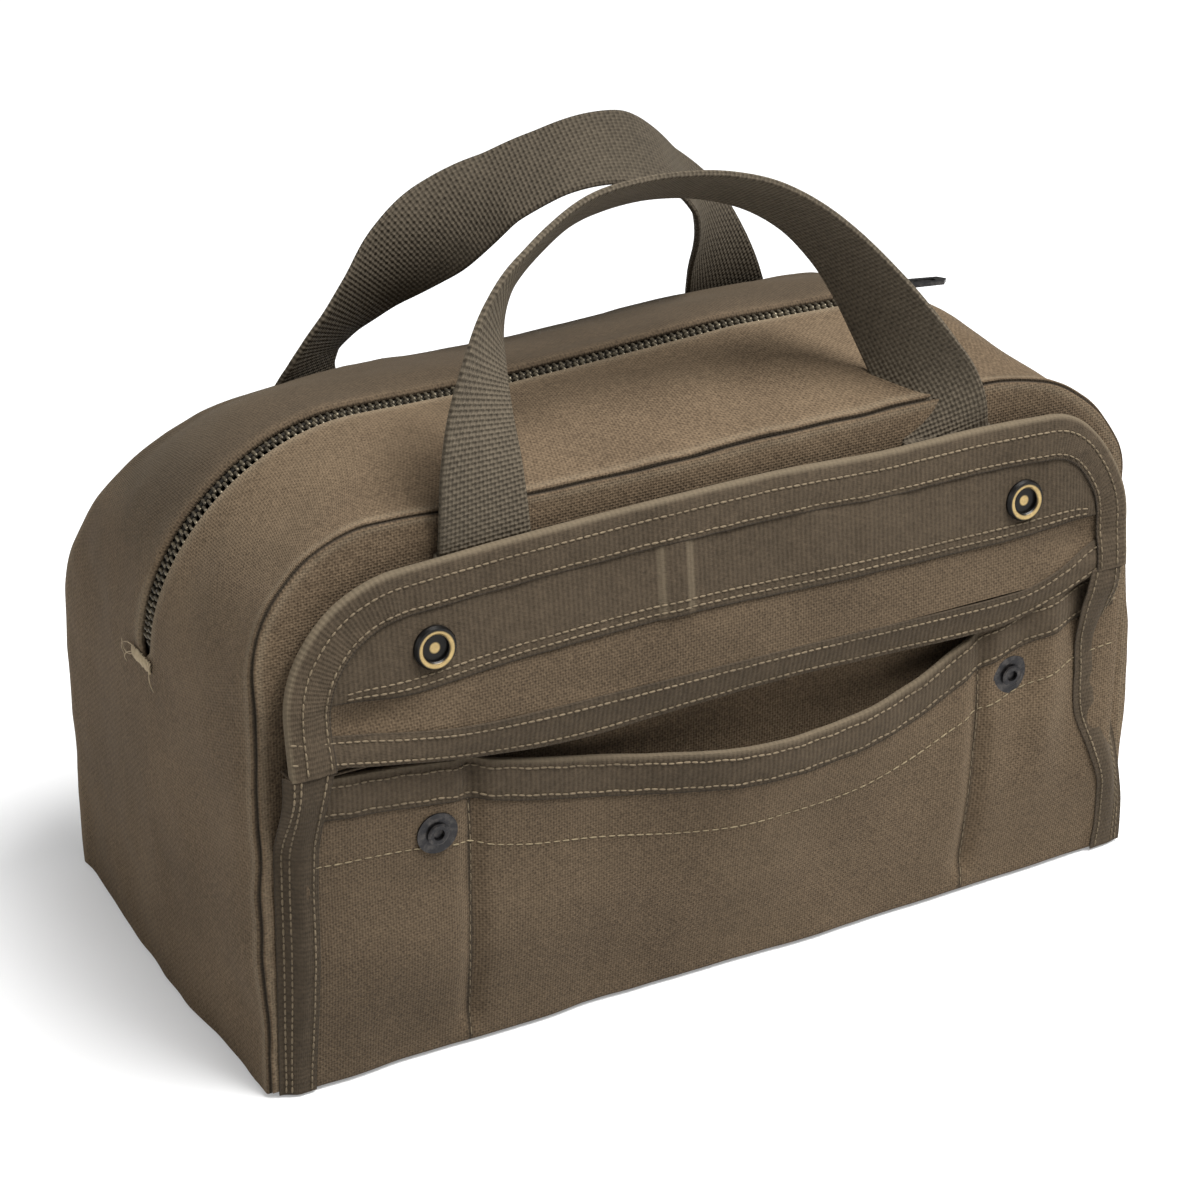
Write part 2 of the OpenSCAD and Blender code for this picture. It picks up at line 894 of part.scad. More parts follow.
// Pull tab: two ears and a pin through the bridge, and a long tapered blade with a slot.
module pull_tab() {
    pin_z = tooth_height / 2 + clear + plate + pin_rise;
    ear_in = bridge_width / 2 + clear;
    ear_out = ear_in + ear_thickness;
    blade_start = bridge_length / 2 + clear;
    color(metal_colour)
        at_slider()
            translate([0, 0, pin_z])
                rotate([0, tab_droop, 0]) {
                    translate([0, ear_out, 0])
                        rotate([90, 0, 0])
                            cylinder(d = pin_diameter, h = 2 * ear_out);
                    for (side = [0, 1])
                        mirror([0, side, 0])
                            translate([0, ear_out, 0])
                                rotate([90, 0, 0])
                                    linear_extrude(ear_thickness)
                                        union() {
                                            circle(d = ear_diameter);
                                            translate([0, -tab_thickness / 2])
                                                square([blade_start + eps, tab_thickness]);
                                        }
                    translate([0, 0, -tab_thickness / 2])
                        linear_extrude(tab_thickness)
                            difference() {
                                polygon([
                                    [blade_start, -tab_width / 2], [blade_start, tab_width / 2],
                                    [tab_length - tab_tip / 2, tab_tip / 2], [tab_length, 0],
                                    [tab_length - tab_tip / 2, -tab_tip / 2]
                                ]);
                                translate([tab_length - tab_tip - tab_slot_length, -tab_slot_width / 2])
                                    square([tab_slot_length, tab_slot_width]);
                            }
                }
}

flap_up = -flap_lean_angle - 180;

bottom_panel();
end_panel();  // end_panel_right
mirror([1, 0, 0]) end_panel();  // end_panel_left
on_zip_line() zip_end_patches();
on_zip_line() zip_bar_tacks();

panel();  // panel_front
gusset(0, -zip_offset - zip_gap);  // gusset_front
seam_binding();  // seam_binding_front
on_zip_line() zip_tape(0);  // zip_tape_front
on_zip_line() zip_teeth(0);  // zip_teeth_front
on_zip_line() zip_stop();  // zip_stop_front
pocket();  // pocket_front
pocket_binding();  // pocket_binding_front
side_bindings();  // side_bindings_front
flap_hinge_tape();  // flap_hinge_tape_front
handle_ends();  // handle_ends_front
snap_studs();  // snap_studs_front
snap_eyelets();  // snap_eyelets_front
tool_pockets();  // tool_pockets_front
tool_binding();  // tool_binding_front
on_flap(flap_up) flap();  // flap_front
on_flap(flap_up) flap_binding();  // flap_binding_front
on_flap(flap_up) flap_facing();  // flap_facing_front
on_flap(flap_up) snap_caps();  // snap_caps_front
on_flap(flap_up) snap_sockets();  // snap_sockets_front
handle(front_rise, front_lean, front_turn);  // handle_front

other_side() bent(back_lean_angle) panel();  // panel_back
other_side() gusset(back_lean_angle, zip_offset - zip_gap);  // gusset_back
other_side() bent(back_lean_angle) seam_binding();  // seam_binding_back
on_zip_line() other_side() zip_tape(1 / 2);  // zip_tape_back
on_zip_line() other_side() zip_teeth(1 / 2);  // zip_teeth_back
on_zip_line() other_side() zip_stop();  // zip_stop_back
other_side() pocket();  // pocket_back
other_side() pocket_binding();  // pocket_binding_back
other_side() side_bindings();  // side_bindings_back
other_side() flap_hinge_tape();  // flap_hinge_tape_back
other_side() lean_in(back_lean_angle) handle_ends();  // handle_ends_back
other_side() snap_studs();  // snap_studs_back
other_side() snap_eyelets();  // snap_eyelets_back
other_side() tool_pockets();  // tool_pockets_back
other_side() tool_binding();  // tool_binding_back
other_side() on_flap(0) flap();  // flap_back
other_side() on_flap(0) flap_binding();  // flap_binding_back
other_side() on_flap(0) flap_facing();  // flap_facing_back
other_side() on_flap(0) snap_caps();  // snap_caps_back
other_side() on_flap(0) snap_sockets();  // snap_sockets_back
other_side() lean_in(back_lean_angle) handle(back_rise, back_lean, back_turn);  // handle_back

on_zip_line() slider_body();
on_zip_line() pull_tab();
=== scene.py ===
import bpy
import math
import numpy as np
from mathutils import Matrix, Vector


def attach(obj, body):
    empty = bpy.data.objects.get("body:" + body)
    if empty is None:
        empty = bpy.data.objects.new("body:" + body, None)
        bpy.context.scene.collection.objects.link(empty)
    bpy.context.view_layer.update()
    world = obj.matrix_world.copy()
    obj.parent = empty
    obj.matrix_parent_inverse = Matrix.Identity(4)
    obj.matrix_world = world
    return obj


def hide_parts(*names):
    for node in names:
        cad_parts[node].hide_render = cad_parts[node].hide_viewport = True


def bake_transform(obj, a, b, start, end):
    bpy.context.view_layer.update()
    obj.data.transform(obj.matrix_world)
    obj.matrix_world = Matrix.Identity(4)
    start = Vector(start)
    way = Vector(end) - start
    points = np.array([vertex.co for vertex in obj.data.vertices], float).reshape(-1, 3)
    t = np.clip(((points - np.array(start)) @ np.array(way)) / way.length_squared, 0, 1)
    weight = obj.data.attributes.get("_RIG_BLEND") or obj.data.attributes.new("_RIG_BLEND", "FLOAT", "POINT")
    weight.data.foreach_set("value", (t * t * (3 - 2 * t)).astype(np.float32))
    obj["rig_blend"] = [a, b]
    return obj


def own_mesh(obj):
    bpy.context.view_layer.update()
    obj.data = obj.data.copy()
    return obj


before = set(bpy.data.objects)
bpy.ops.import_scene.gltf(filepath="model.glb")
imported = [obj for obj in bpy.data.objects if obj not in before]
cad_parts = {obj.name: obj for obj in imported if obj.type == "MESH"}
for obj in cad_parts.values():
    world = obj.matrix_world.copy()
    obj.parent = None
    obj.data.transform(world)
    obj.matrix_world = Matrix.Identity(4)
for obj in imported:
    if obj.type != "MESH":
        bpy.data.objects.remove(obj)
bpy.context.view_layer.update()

mm = 0.001  # millimetres to metres

# Sizes repeated from the part's source, in millimetres and degrees.
cad = {
    "panelY": 72.5, "seamTop": 168.0, "backLean": 28.0,
    "zipHalf": 148.0, "zipTop": 175.0, "zipCorner": 62.0, "zipY": -12.0,
    "flapY": 82.3, "flapZ": 104.0, "flapLean": 6.5, "snapX": 95.0, "snapDrop": 29.0,
    "pocketFace": 78.7, "divider": 84.0,
}


# Helpers for numbers.

def ease(t):
    t = np.clip(t, 0, 1)
    return t * t * (3 - 2 * t)


def bell(t, middle, reach):
    return np.exp(-((t - middle) / reach) ** 2)


def spot(x, z, middle, reach):
    return np.exp(-(((x - middle[0]) / reach[0]) ** 2 + ((z - middle[1]) / reach[1]) ** 2))


def valueNoise(points, size, seed):
    q = np.asarray(points, float) / size
    cell = np.floor(q).astype(np.int64)
    f = q - cell
    f = f * f * (3 - 2 * f)
    total = 0
    for dx in (0, 1):
        for dy in (0, 1):
            for dz in (0, 1):
                h = (cell[..., 0] + dx) * 73856093 ^ (cell[..., 1] + dy) * 19349663
                h = h ^ (cell[..., 2] + dz) * 83492791 ^ (seed * 2654435 + 12345)
                h = ((h ^ (h >> 13)) * 1274126177) & 0x7FFFFFFF
                h = ((h ^ (h >> 15)) * 73244475) & 0x7FFFFFFF
                wx = f[..., 0] if dx else 1 - f[..., 0]
                wy = f[..., 1] if dy else 1 - f[..., 1]
                wz = f[..., 2] if dz else 1 - f[..., 2]
                total = total + (h % 10007) / 10006.0 * wx * wy * wz
    return total * 2 - 1


def layers(points, *kinds):
    # Adds up noise, each kind by its size, seed and height.
    return sum(valueNoise(points, size, seed) * height for size, seed, height in kinds)


def throughPoints(keys, count):
    # A smooth run of points through the keys, evenly spaced along its length.
    k = np.asarray(keys, float)
    padded = np.vstack([2 * k[0] - k[1], k, 2 * k[-1] - k[-2]])
    fine = []
    for i in range(len(k) - 1):
        a, b, c, d = padded[i:i + 4]
        t = np.linspace(0, 1, 24, endpoint=False)[:, None]
        fine.append(0.5 * (2 * b + (c - a) * t + (2 * a - 5 * b + 4 * c - d) * t ** 2
                           + (3 * b - a - 3 * c + d) * t ** 3))
    fine = np.vstack(fine + [k[-1:]])
    run = np.concatenate([[0], np.cumsum(np.linalg.norm(np.diff(fine, axis=0), axis=1))])
    at = np.linspace(0, run[-1], count)
    return np.stack([np.interp(at, run, fine[:, j]) for j in range(k.shape[1])], axis=1)


def along(points):
    return np.concatenate([[0], np.cumsum(np.linalg.norm(np.diff(points, axis=0), axis=1))])


def unitRows(v):
    return v / np.maximum(np.linalg.norm(v, axis=-1, keepdims=True), 1e-9)


def gridNormals(grid, closedV=False):
    if closedV:
        wrapped = np.concatenate([grid[:, -2:-1], grid, grid[:, 1:2]], axis=1)
        dv = np.gradient(wrapped, axis=1)[:, 1:-1]
    else:
        dv = np.gradient(grid, axis=1)
    du = np.gradient(grid, axis=0)
    return unitRows(np.cross(du, dv))


# Meshes.

class Piece:
    # Grids and strips gathered into one mesh.

    def __init__(self, name):
        self.name = name
        self.verts, self.normals, self.uvs, self.shade = [], [], [], []
        self.faces = []
        self.count = 0

    def grid(self, points, normals, uv, shade=None, flip=False):
        nu, nv = points.shape[:2]
        base = self.count
        self.verts.append(points.reshape(-1, 3))
        self.normals.append((-normals if flip else normals).reshape(-1, 3))
        self.uvs.append(uv.reshape(-1, 2))
        self.shade.append(np.broadcast_to(0.0 if shade is None else shade, (nu, nv)).reshape(-1))
        self.count += nu * nv
        index = base + np.arange(nu * nv).reshape(nu, nv)
        quads = np.stack([index[:-1, :-1], index[1:, :-1], index[1:, 1:], index[:-1, 1:]],
                         axis=-1).reshape(-1, 4)
        self.faces.append(quads[:, ::-1] if flip else quads)

    def build(self, material):
        verts = np.vstack(self.verts) * mm
        corners = np.vstack(self.faces)
        first, welded = np.unique(np.round(verts, 6), axis=0, return_index=True, return_inverse=True)[1:]
        index = welded.reshape(-1)[corners]
        keep = index != np.roll(index, -1, axis=1)
        keep &= (keep.sum(axis=1) > 2)[:, None]
        sizes = keep.sum(axis=1)
        ends = np.cumsum(sizes)
        flat = index[keep].tolist()
        mesh = bpy.data.meshes.new(self.name)
        mesh.from_pydata(verts[first].tolist(), [],
                         [flat[end - size:end] for end, size in zip(ends, sizes) if size])
        source = corners[keep]
        uv = mesh.uv_layers.new(name="UVMap")
        uv.data.foreach_set("uv", (np.vstack(self.uvs) * mm)[source].astype(np.float32).ravel())
        shade = mesh.attributes.new("shade", "FLOAT", "POINT")
        shade.data.foreach_set("value", np.concatenate(self.shade)[first].astype(np.float32))
        mesh.shade_smooth()
        mesh.normals_split_custom_set(unitRows(np.vstack(self.normals))[source].tolist())
        obj = bpy.data.objects.new(self.name, mesh)
        bpy.context.scene.collection.objects.link(obj)
        mesh.materials.append(material)
        return obj


def rimStrip(piece, outer, inner, n, uv, shade, out, turned):
    # A rounded edge from the outer face to the inner one.
    out = unitRows(out - n * np.sum(out * n, axis=-1, keepdims=True))
    angles = np.linspace(0, math.pi, 5)
    half = np.linalg.norm(outer - inner, axis=-1, keepdims=True) / 2
    ways = [n * math.cos(a) + out * math.sin(a) for a in angles]
    strip = np.stack([(outer + inner) / 2 + way * half for way in ways], axis=1)
    ways = np.stack(ways, axis=1)
    coords = uv[:, None] + (angles * 0.3)[None, :, None]
    piece.grid(strip, -ways if turned else ways, coords, np.repeat(shade[:, None], 5, axis=1), flip=turned)


def clothSheet(piece, outer, uv, thickness, shade=0.0, flip=False, normals=None, rimmed=True):
    # Adds a sheet: its outer face, its inner face and, where it is rimmed, a rounded edge all round.
    n = gridNormals(outer) if normals is None else normals
    n = -n if flip else n
    shade = np.broadcast_to(shade, outer.shape[:2])
    inner = outer - n * thickness
    piece.grid(outer, -n if flip else n, uv, shade, flip=flip)
    piece.grid(inner, -n if flip else n, uv, shade, flip=not flip)
    if not rimmed:
        return
    du, dv = np.zeros_like(outer), np.zeros_like(outer)
    du[0], du[-1] = outer[0] - outer[1], outer[-1] - outer[-2]
    dv[:, 0], dv[:, -1] = outer[:, 0] - outer[:, 1], outer[:, -1] - outer[:, -2]
    around = unitRows(du) + unitRows(dv)
    nu, nv = outer.shape[:2]
    lap = [(i, 0) for i in range(nu)] + [(nu - 1, j) for j in range(1, nv)]
    lap += [(i, nv - 1) for i in range(nu - 2, -1, -1)] + [(0, j) for j in range(nv - 2, -1, -1)]
    at = tuple(np.array(lap).T)
    rimStrip(piece, outer[at], inner[at], n[at], uv[at], shade[at], around[at], not flip)


def gridUv(rows, columns):
    return np.stack(np.broadcast_arrays(rows[:, None], columns[None]), axis=-1)


def sweep(piece, path, side, up, profile, shade=None):
    # Carries a closed profile of (across, out) points along a path.
    profile = np.asarray(profile, float)
    ring = np.vstack([profile, profile[:1]])
    pts = path[:, None] + side[:, None] * ring[None, :, :1] + up[:, None] * ring[None, :, 1:2]
    n = gridNormals(pts, closedV=True)
    lengths = along(path)
    around = along(ring)
    uv = np.stack(np.meshgrid(lengths, around, indexing="ij"), axis=-1)
    middle = path[:, None] + side[:, None] * ring[:-1, 0].mean() + up[:, None] * ring[:-1, 1].mean()
    wrong = np.sum((pts - middle) * n) < 0
    s = None if shade is None else np.broadcast_to(shade, pts.shape[:2])
    piece.grid(pts, n, uv, s, flip=wrong)
    for end, back in ((0, 1), (-1, -2)):
        away = unitRows(path[end] - path[back])
        cap = np.stack([pts[end], np.repeat(pts[end, :-1].mean(axis=0)[None], len(ring), axis=0)], axis=1)
        capN = np.broadcast_to(away, cap.shape)
        turned = np.sum(np.cross(cap[1:, 0] - cap[:-1, 0], cap[:-1, 1] - cap[:-1, 0]) @ away) < 0
        piece.grid(cap, -capN if turned else capN, np.repeat(uv[end][:, None], 2, axis=1), None, flip=turned)


# Shader maths.

class Sock:
    # An output socket with arithmetic.

    def __init__(self, tree, out):
        self.tree, self.out = tree, out

    def math(self, kind, *others, clamp=False):
        node = self.tree.nodes.new("ShaderNodeMath")
        node.operation, node.use_clamp = kind, clamp
        for slot, value in zip(node.inputs, (self,) + others):
            if isinstance(value, Sock):
                self.tree.links.new(value.out, slot)
            else:
                slot.default_value = value
        return Sock(self.tree, node.outputs[0])

    def __add__(self, other):
        return self.math("ADD", other)

    def __radd__(self, other):
        return self.math("ADD", other)

    def __sub__(self, other):
        return self.math("SUBTRACT", other)

    def __rsub__(self, other):
        return (self * -1.0) + other

    def __mul__(self, other):
        return self.math("MULTIPLY", other)

    def __rmul__(self, other):
        return self.math("MULTIPLY", other)

    def sin(self):
        return self.math("SINE")

    def abs(self):
        return self.math("ABSOLUTE")

    def clamp(self):
        return self.math("ADD", 0.0, clamp=True)


class Shader:
    # One material's tree.

    def __init__(self, name):
        self.material = bpy.data.materials.new(name)
        self.material.use_nodes = True
        self.tree = self.material.node_tree
        self.bsdf = self.tree.nodes["Principled BSDF"]

    def node(self, kind, output=0, settings=None, **inputs):
        made = self.tree.nodes.new(kind)
        for key, value in (settings or {}).items():
            setattr(made, key, value)
        for key, value in inputs.items():
            slot = made.inputs[key.replace("_", " ")]
            if isinstance(value, Sock):
                self.tree.links.new(value.out, slot)
            else:
                slot.default_value = value
        return Sock(self.tree, made.outputs[output])

    def mix(self, factor, a, b):
        made = self.tree.nodes.new("ShaderNodeMix")
        made.data_type, made.blend_type = "RGBA", "MIX"
        for index, value in ((0, factor), (6, a), (7, b)):
            if isinstance(value, Sock):
                self.tree.links.new(value.out, made.inputs[index])
            else:
                made.inputs[index].default_value = value if index == 0 else (*value, 1.0)
        return Sock(self.tree, made.outputs[2])

    def noise(self, coords, scale, detail=2.0, rough=0.5):
        return self.node("ShaderNodeTexNoise", 0, Vector=coords, Scale=scale, Detail=detail, Roughness=rough)

    def ramp(self, value, low, high):
        return self.node("ShaderNodeMapRange", 0, {"clamp": True}, Value=value, From_Min=low, From_Max=high)

    def plug(self, name, value):
        slot = self.bsdf.inputs[name]
        if isinstance(value, Sock):
            self.tree.links.new(value.out, slot)
        else:
            slot.default_value = value

    def bump(self, height, strength, distance):
        self.plug("Normal",
                  self.node("ShaderNodeBump", 0, Height=height, Strength=strength, Distance=distance))


clothDefaults = {
    "wobble": 1.4, "ribU": 0.5, "ribV": 0.5, "check": 0.35, "heather": 0.5, "heatherScale": 330.0,
    "speck": 0.45, "speckScale": 900.0, "weaveTone": 0.22, "blotch": 0.3, "wide": 0.18,
    "sheen": 0.12, "weaveBump": 0.6,
}


def clothMaterial(name, look):
    # Woven cloth: crossing threads, speckle, soft blotches, and the painted shade and painted highlights
    # carried by the piece's shade attribute.
    look = {**clothDefaults, "pitchV": look["pitch"], **look}
    s = Shader(name)
    uv = s.node("ShaderNodeUVMap", 0, {"uv_map": "UVMap"})
    u = s.node("ShaderNodeSeparateXYZ", 0, Vector=uv)
    v = s.node("ShaderNodeSeparateXYZ", 1, Vector=uv)
    place = s.node("ShaderNodeTexCoord", 3)
    wobble = s.noise(place, 260.0, 2.0)
    turns = 2 * math.pi / (look["pitch"] * mm)
    turnsV = 2 * math.pi / (look["pitchV"] * mm)
    uu = (u * turns + wobble * look["wobble"]).sin()
    vv = (v * turnsV + wobble * look["wobble"]).sin()
    over = ((u * (turns / 2)).sin() * (v * (turnsV / 2)).sin())
    weave = (uu * look["ribU"] + vv * look["ribV"]) * 0.5 + over * look["check"]
    speck = s.noise(place, look["speckScale"], 2.0, 0.7)
    heather = s.noise(place, look["heatherScale"], 3.0, 0.65)
    blotch = s.noise(place, 28.0, 3.0, 0.55)
    wide = s.noise(place, 9.0, 2.0, 0.5)
    wornAndPaintedLight = s.node("ShaderNodeAttribute", 2, {"attribute_name": "shade", "attribute_type": "GEOMETRY"})
    tone = (s.ramp(heather, 0.3, 0.7) - 0.5) * look["heather"]
    tone = tone + (s.ramp(speck, 0.25, 0.75) - 0.5) * look["speck"]
    tone = tone + weave * look["weaveTone"]
    tone = tone + (s.ramp(blotch, 0.3, 0.7) - 0.5) * look["blotch"]
    tone = tone + (s.ramp(wide, 0.35, 0.65) - 0.5) * look["wide"] + 0.5
    colour = s.mix(tone.clamp(), look["dark"], look["light"])
    # The shade attribute paints light into the colour: above zero it leans to pale as a painted highlight,
    # below zero to deep as painted shade.
    colour = s.mix(wornAndPaintedLight.clamp() * 0.75, colour, look["pale"])
    colour = s.mix((wornAndPaintedLight * -1.0).clamp(), colour, look["deep"])
    s.plug("Base Color", colour)
    s.plug("Roughness", (0.86 + tone * 0.1).clamp())
    s.plug("Sheen Weight", look["sheen"])
    s.plug("Sheen Roughness", 0.55)
    s.plug("Sheen Tint", (*look["pale"], 1.0))
    s.plug("Specular IOR Level", 0.18)
    s.bump(weave * look["weaveBump"] + speck * 0.8, look["bump"], 0.00035)
    return s.material


def threadMaterial(name, colour, dark):
    s = Shader(name)
    place = s.node("ShaderNodeTexCoord", 3)
    n = s.noise(place, 700.0, 2.0)
    wide = s.noise(place, 45.0, 2.0)
    s.plug("Base Color",
           s.mix((s.ramp(n, 0.3, 0.7) * 0.5 + s.ramp(wide, 0.35, 0.65) * 0.5).clamp(), dark, colour))
    s.plug("Roughness", 0.8)
    s.plug("Specular IOR Level", 0.25)
    s.bump(n, 0.4, 0.0002)
    return s.material


def metalMaterial(name, look):
    s = Shader(name)
    place = s.node("ShaderNodeTexCoord", 3)
    wear = s.ramp(s.noise(place, 420.0, 4.0, 0.7), 0.45, 0.75)
    fine = s.noise(place, 1500.0, 2.0)
    s.plug("Base Color", s.mix(wear * look.get("wear", 0.5), look["colour"], look["wornAndPaintedLight"]))
    s.plug("Metallic", look.get("metallic", 0.9))
    s.plug("Roughness", (wear * -0.12 + fine * 0.12 + look["roughness"]).clamp())
    s.bump(fine, 0.15, 0.0001)
    return s.material


def socketMaterial(name, across, height, ring, reach):
    # Blackened snaps at that distance either side of the middle, each with a bright ring of that radius.
    s = Shader(name)
    place = s.node("ShaderNodeTexCoord", 3)
    x = s.node("ShaderNodeSeparateXYZ", 0, Vector=place)
    z = s.node("ShaderNodeSeparateXYZ", 2, Vector=place)
    dx = x.abs() - across * mm
    dz = z - height * mm
    r = (dx * dx + dz * dz).math("SQRT")
    bright = s.ramp((r - ring * mm).abs() * -1.0, -reach * mm, -reach * mm * 0.45)
    wear = s.ramp(s.noise(place, 500.0, 3.0, 0.7), 0.42, 0.72)
    core = s.ramp(r * -1.0, -1.7 * mm, -1.2 * mm)  # the pin in the middle
    gold = (bright + core).clamp() * (0.65 + wear * 0.35)
    s.plug("Base Color", s.mix(gold, (0.022, 0.021, 0.02), (0.62, 0.45, 0.2)))
    s.plug("Metallic", 0.9)
    s.plug("Roughness", (0.32 + wear * 0.18).clamp())
    return s.material


# In each look, pale is the colour of painted highlights and the sheen's tint, and deep is the colour of
# painted shade.
looks = {
    "canvas": {"pitch": 0.85, "dark": (0.05, 0.033, 0.0185), "light": (0.142, 0.1, 0.061),
               "heather": 0.28, "heatherScale": 520.0, "speck": 0.95, "speckScale": 1250.0, "weaveTone": 0.5,
               "pale": (0.36, 0.3, 0.21), "deep": (0.02, 0.015, 0.01), "bump": 0.55},
    "tape": {"pitch": 1.5, "pitchV": 0.6, "ribU": 0.8, "ribV": 0.2, "check": 0.15, "weaveTone": 0.24,
             "dark": (0.029, 0.0208, 0.0125), "light": (0.081, 0.0595, 0.0385), "pale": (0.26, 0.21, 0.14),
             "heather": 0.28, "speck": 0.5,
             "deep": (0.018, 0.014, 0.01), "bump": 0.6, "blotch": 0.22},
    "webbing": {"pitch": 1.35, "pitchV": 1.3, "ribU": 0.75, "ribV": 0.6, "check": 0.3, "weaveTone": 0.42,
                "weaveBump": 1.2, "wobble": 0.5, "heather": 0.25, "speck": 0.25,
                "dark": (0.033, 0.026, 0.0175), "light": (0.116, 0.094, 0.066), "pale": (0.26, 0.22, 0.15),
                "deep": (0.015, 0.012, 0.008), "bump": 0.9, "blotch": 0.15, "sheen": 0.08},
    "zipTape": {"pitch": 0.5, "dark": (0.008, 0.007, 0.006), "light": (0.026, 0.022, 0.017),
                "pale": (0.2, 0.17, 0.12), "deep": (0.008, 0.006, 0.005), "bump": 0.4},
}
canvas = clothMaterial("canvasCloth", looks["canvas"])
tape = clothMaterial("bindingTape", looks["tape"])
webbing = clothMaterial("handleWebbing", looks["webbing"])
zipCloth = clothMaterial("zipTapeCloth", looks["zipTape"])
thread = threadMaterial("sewingThread", (0.175, 0.135, 0.085), (0.09, 0.068, 0.042))
paleThread = threadMaterial("paleThread", (0.25, 0.2, 0.12), (0.13, 0.1, 0.06))
looseThread = threadMaterial("looseThread", (0.42, 0.34, 0.22), (0.2, 0.155, 0.1))
gunMetal = metalMaterial("blackenedMetal",
                         {"colour": (0.03, 0.029, 0.03), "wornAndPaintedLight": (0.15, 0.135, 0.12), "roughness": 0.34})
toothMetal = metalMaterial("zipMetal",
                           {"colour": (0.07, 0.058, 0.04), "wornAndPaintedLight": (0.33, 0.28, 0.19), "roughness": 0.42,
                            "metallic": 0.6, "wear": 0.75})
print("materials made")


def finishNode(node, material):
    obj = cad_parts[node]
    obj.data.materials.clear()
    obj.data.materials.append(material)


# Things set in rows: stitches and zip teeth.

def repeatTree():
    # Sets a unit at even steps along lines, turned to the line and to the face under it.
    tree = bpy.data.node_groups.new("repeatAlong", "GeometryNodeTree")
    ins = {}
    for label, kind in (("Geometry", "NodeSocketGeometry"), ("Unit", "NodeSocketObject"),
                        ("Pitch", "NodeSocketFloat"), ("Jitter", "NodeSocketFloat"),
                        ("Seed", "NodeSocketInt"), ("Finish", "NodeSocketMaterial")):
        ins[label] = tree.interface.new_socket(name=label, in_out="INPUT", socket_type=kind).identifier
    tree.interface.new_socket(name="Geometry", in_out="OUTPUT", socket_type="NodeSocketGeometry")
    new, link = tree.nodes.new, tree.links.new
    source, sink = new("NodeGroupInput"), new("NodeGroupOutput")
    curve = new("GeometryNodeMeshToCurve")
    steps = new("GeometryNodeResampleCurve")
    if hasattr(steps, "mode"):
        steps.mode = "LENGTH"
    face = new("GeometryNodeInputNamedAttribute")
    face.data_type = "FLOAT_VECTOR"
    face.inputs["Name"].default_value = "face"
    tangent = new("GeometryNodeInputTangent")
    turn = new("FunctionNodeAxesToRotation")
    turn.primary_axis, turn.secondary_axis = "X", "Z"
    info = new("GeometryNodeObjectInfo")
    chance = new("FunctionNodeRandomValue")
    chance.data_type = "FLOAT"
    low, high = new("ShaderNodeMath"), new("ShaderNodeMath")
    low.operation, high.operation = "SUBTRACT", "ADD"
    low.inputs[0].default_value = high.inputs[0].default_value = 1.0
    put = new("GeometryNodeInstanceOnPoints")
    real = new("GeometryNodeRealizeInstances")
    finish = new("GeometryNodeSetMaterial")
    link(source.outputs["Geometry"], curve.inputs[0])
    link(curve.outputs[0], steps.inputs["Curve"])
    link(source.outputs["Pitch"], steps.inputs["Length"])
    link(tangent.outputs[0], turn.inputs["Primary Axis"])
    link(face.outputs["Attribute"], turn.inputs["Secondary Axis"])
    link(source.outputs["Unit"], info.inputs["Object"])
    link(source.outputs["Jitter"], low.inputs[1])
    link(source.outputs["Jitter"], high.inputs[1])
    scalars = [s for s in chance.inputs if s.type == "VALUE"]
    link(low.outputs[0], scalars[0])
    link(high.outputs[0], scalars[1])
    link(source.outputs["Seed"], chance.inputs["Seed"])
    link(steps.outputs[0], put.inputs["Points"])
    link(info.outputs["Geometry"], put.inputs["Instance"])
    link(turn.outputs[0], put.inputs["Rotation"])
    link([o for o in chance.outputs if o.type == "VALUE"][0], put.inputs["Scale"])
    link(put.outputs[0], real.inputs[0])
    link(real.outputs[0], finish.inputs["Geometry"])
    link(source.outputs["Finish"], finish.inputs["Material"])
    link(finish.outputs[0], sink.inputs[0])
    return tree, ins


repeats, repeatInputs = repeatTree()


def unitMesh(name, rings, around):
    # A small lengthwise form from (x, half width, half height) rings, kept out of the scene.
    verts, faces = [], []
    for x, w, h in rings:
        for k in range(around):
            a = 2 * math.pi * (k + 0.5) / around
            verts.append((x * mm, math.cos(a) * w * mm, math.sin(a) * h * mm))
    for j in range(len(rings) - 1):
        for k in range(around):
            a, b = j * around + k, j * around + (k + 1) % around
            faces.append((a, b, b + around, a + around))
    faces.append(tuple(range(around))[::-1])
    faces.append(tuple(range((len(rings) - 1) * around, len(rings) * around)))
    mesh = bpy.data.meshes.new(name)
    mesh.from_pydata(verts, [], faces)
    mesh.shade_smooth()
    return bpy.data.objects.new(name, mesh)


stitchUnit = unitMesh("stitchUnit",
                      [(-0.95, 0.08, 0.06), (-0.65, 0.26, 0.2), (0, 0.32, 0.26), (0.65, 0.26, 0.2),
                       (0.95, 0.08, 0.06)], 6)
longUnit = unitMesh("longStitchUnit",
                    [(-1.15, 0.08, 0.06), (-0.8, 0.19, 0.15), (0, 0.24, 0.2), (0.8, 0.19, 0.15),
                     (1.15, 0.08, 0.06)], 6)


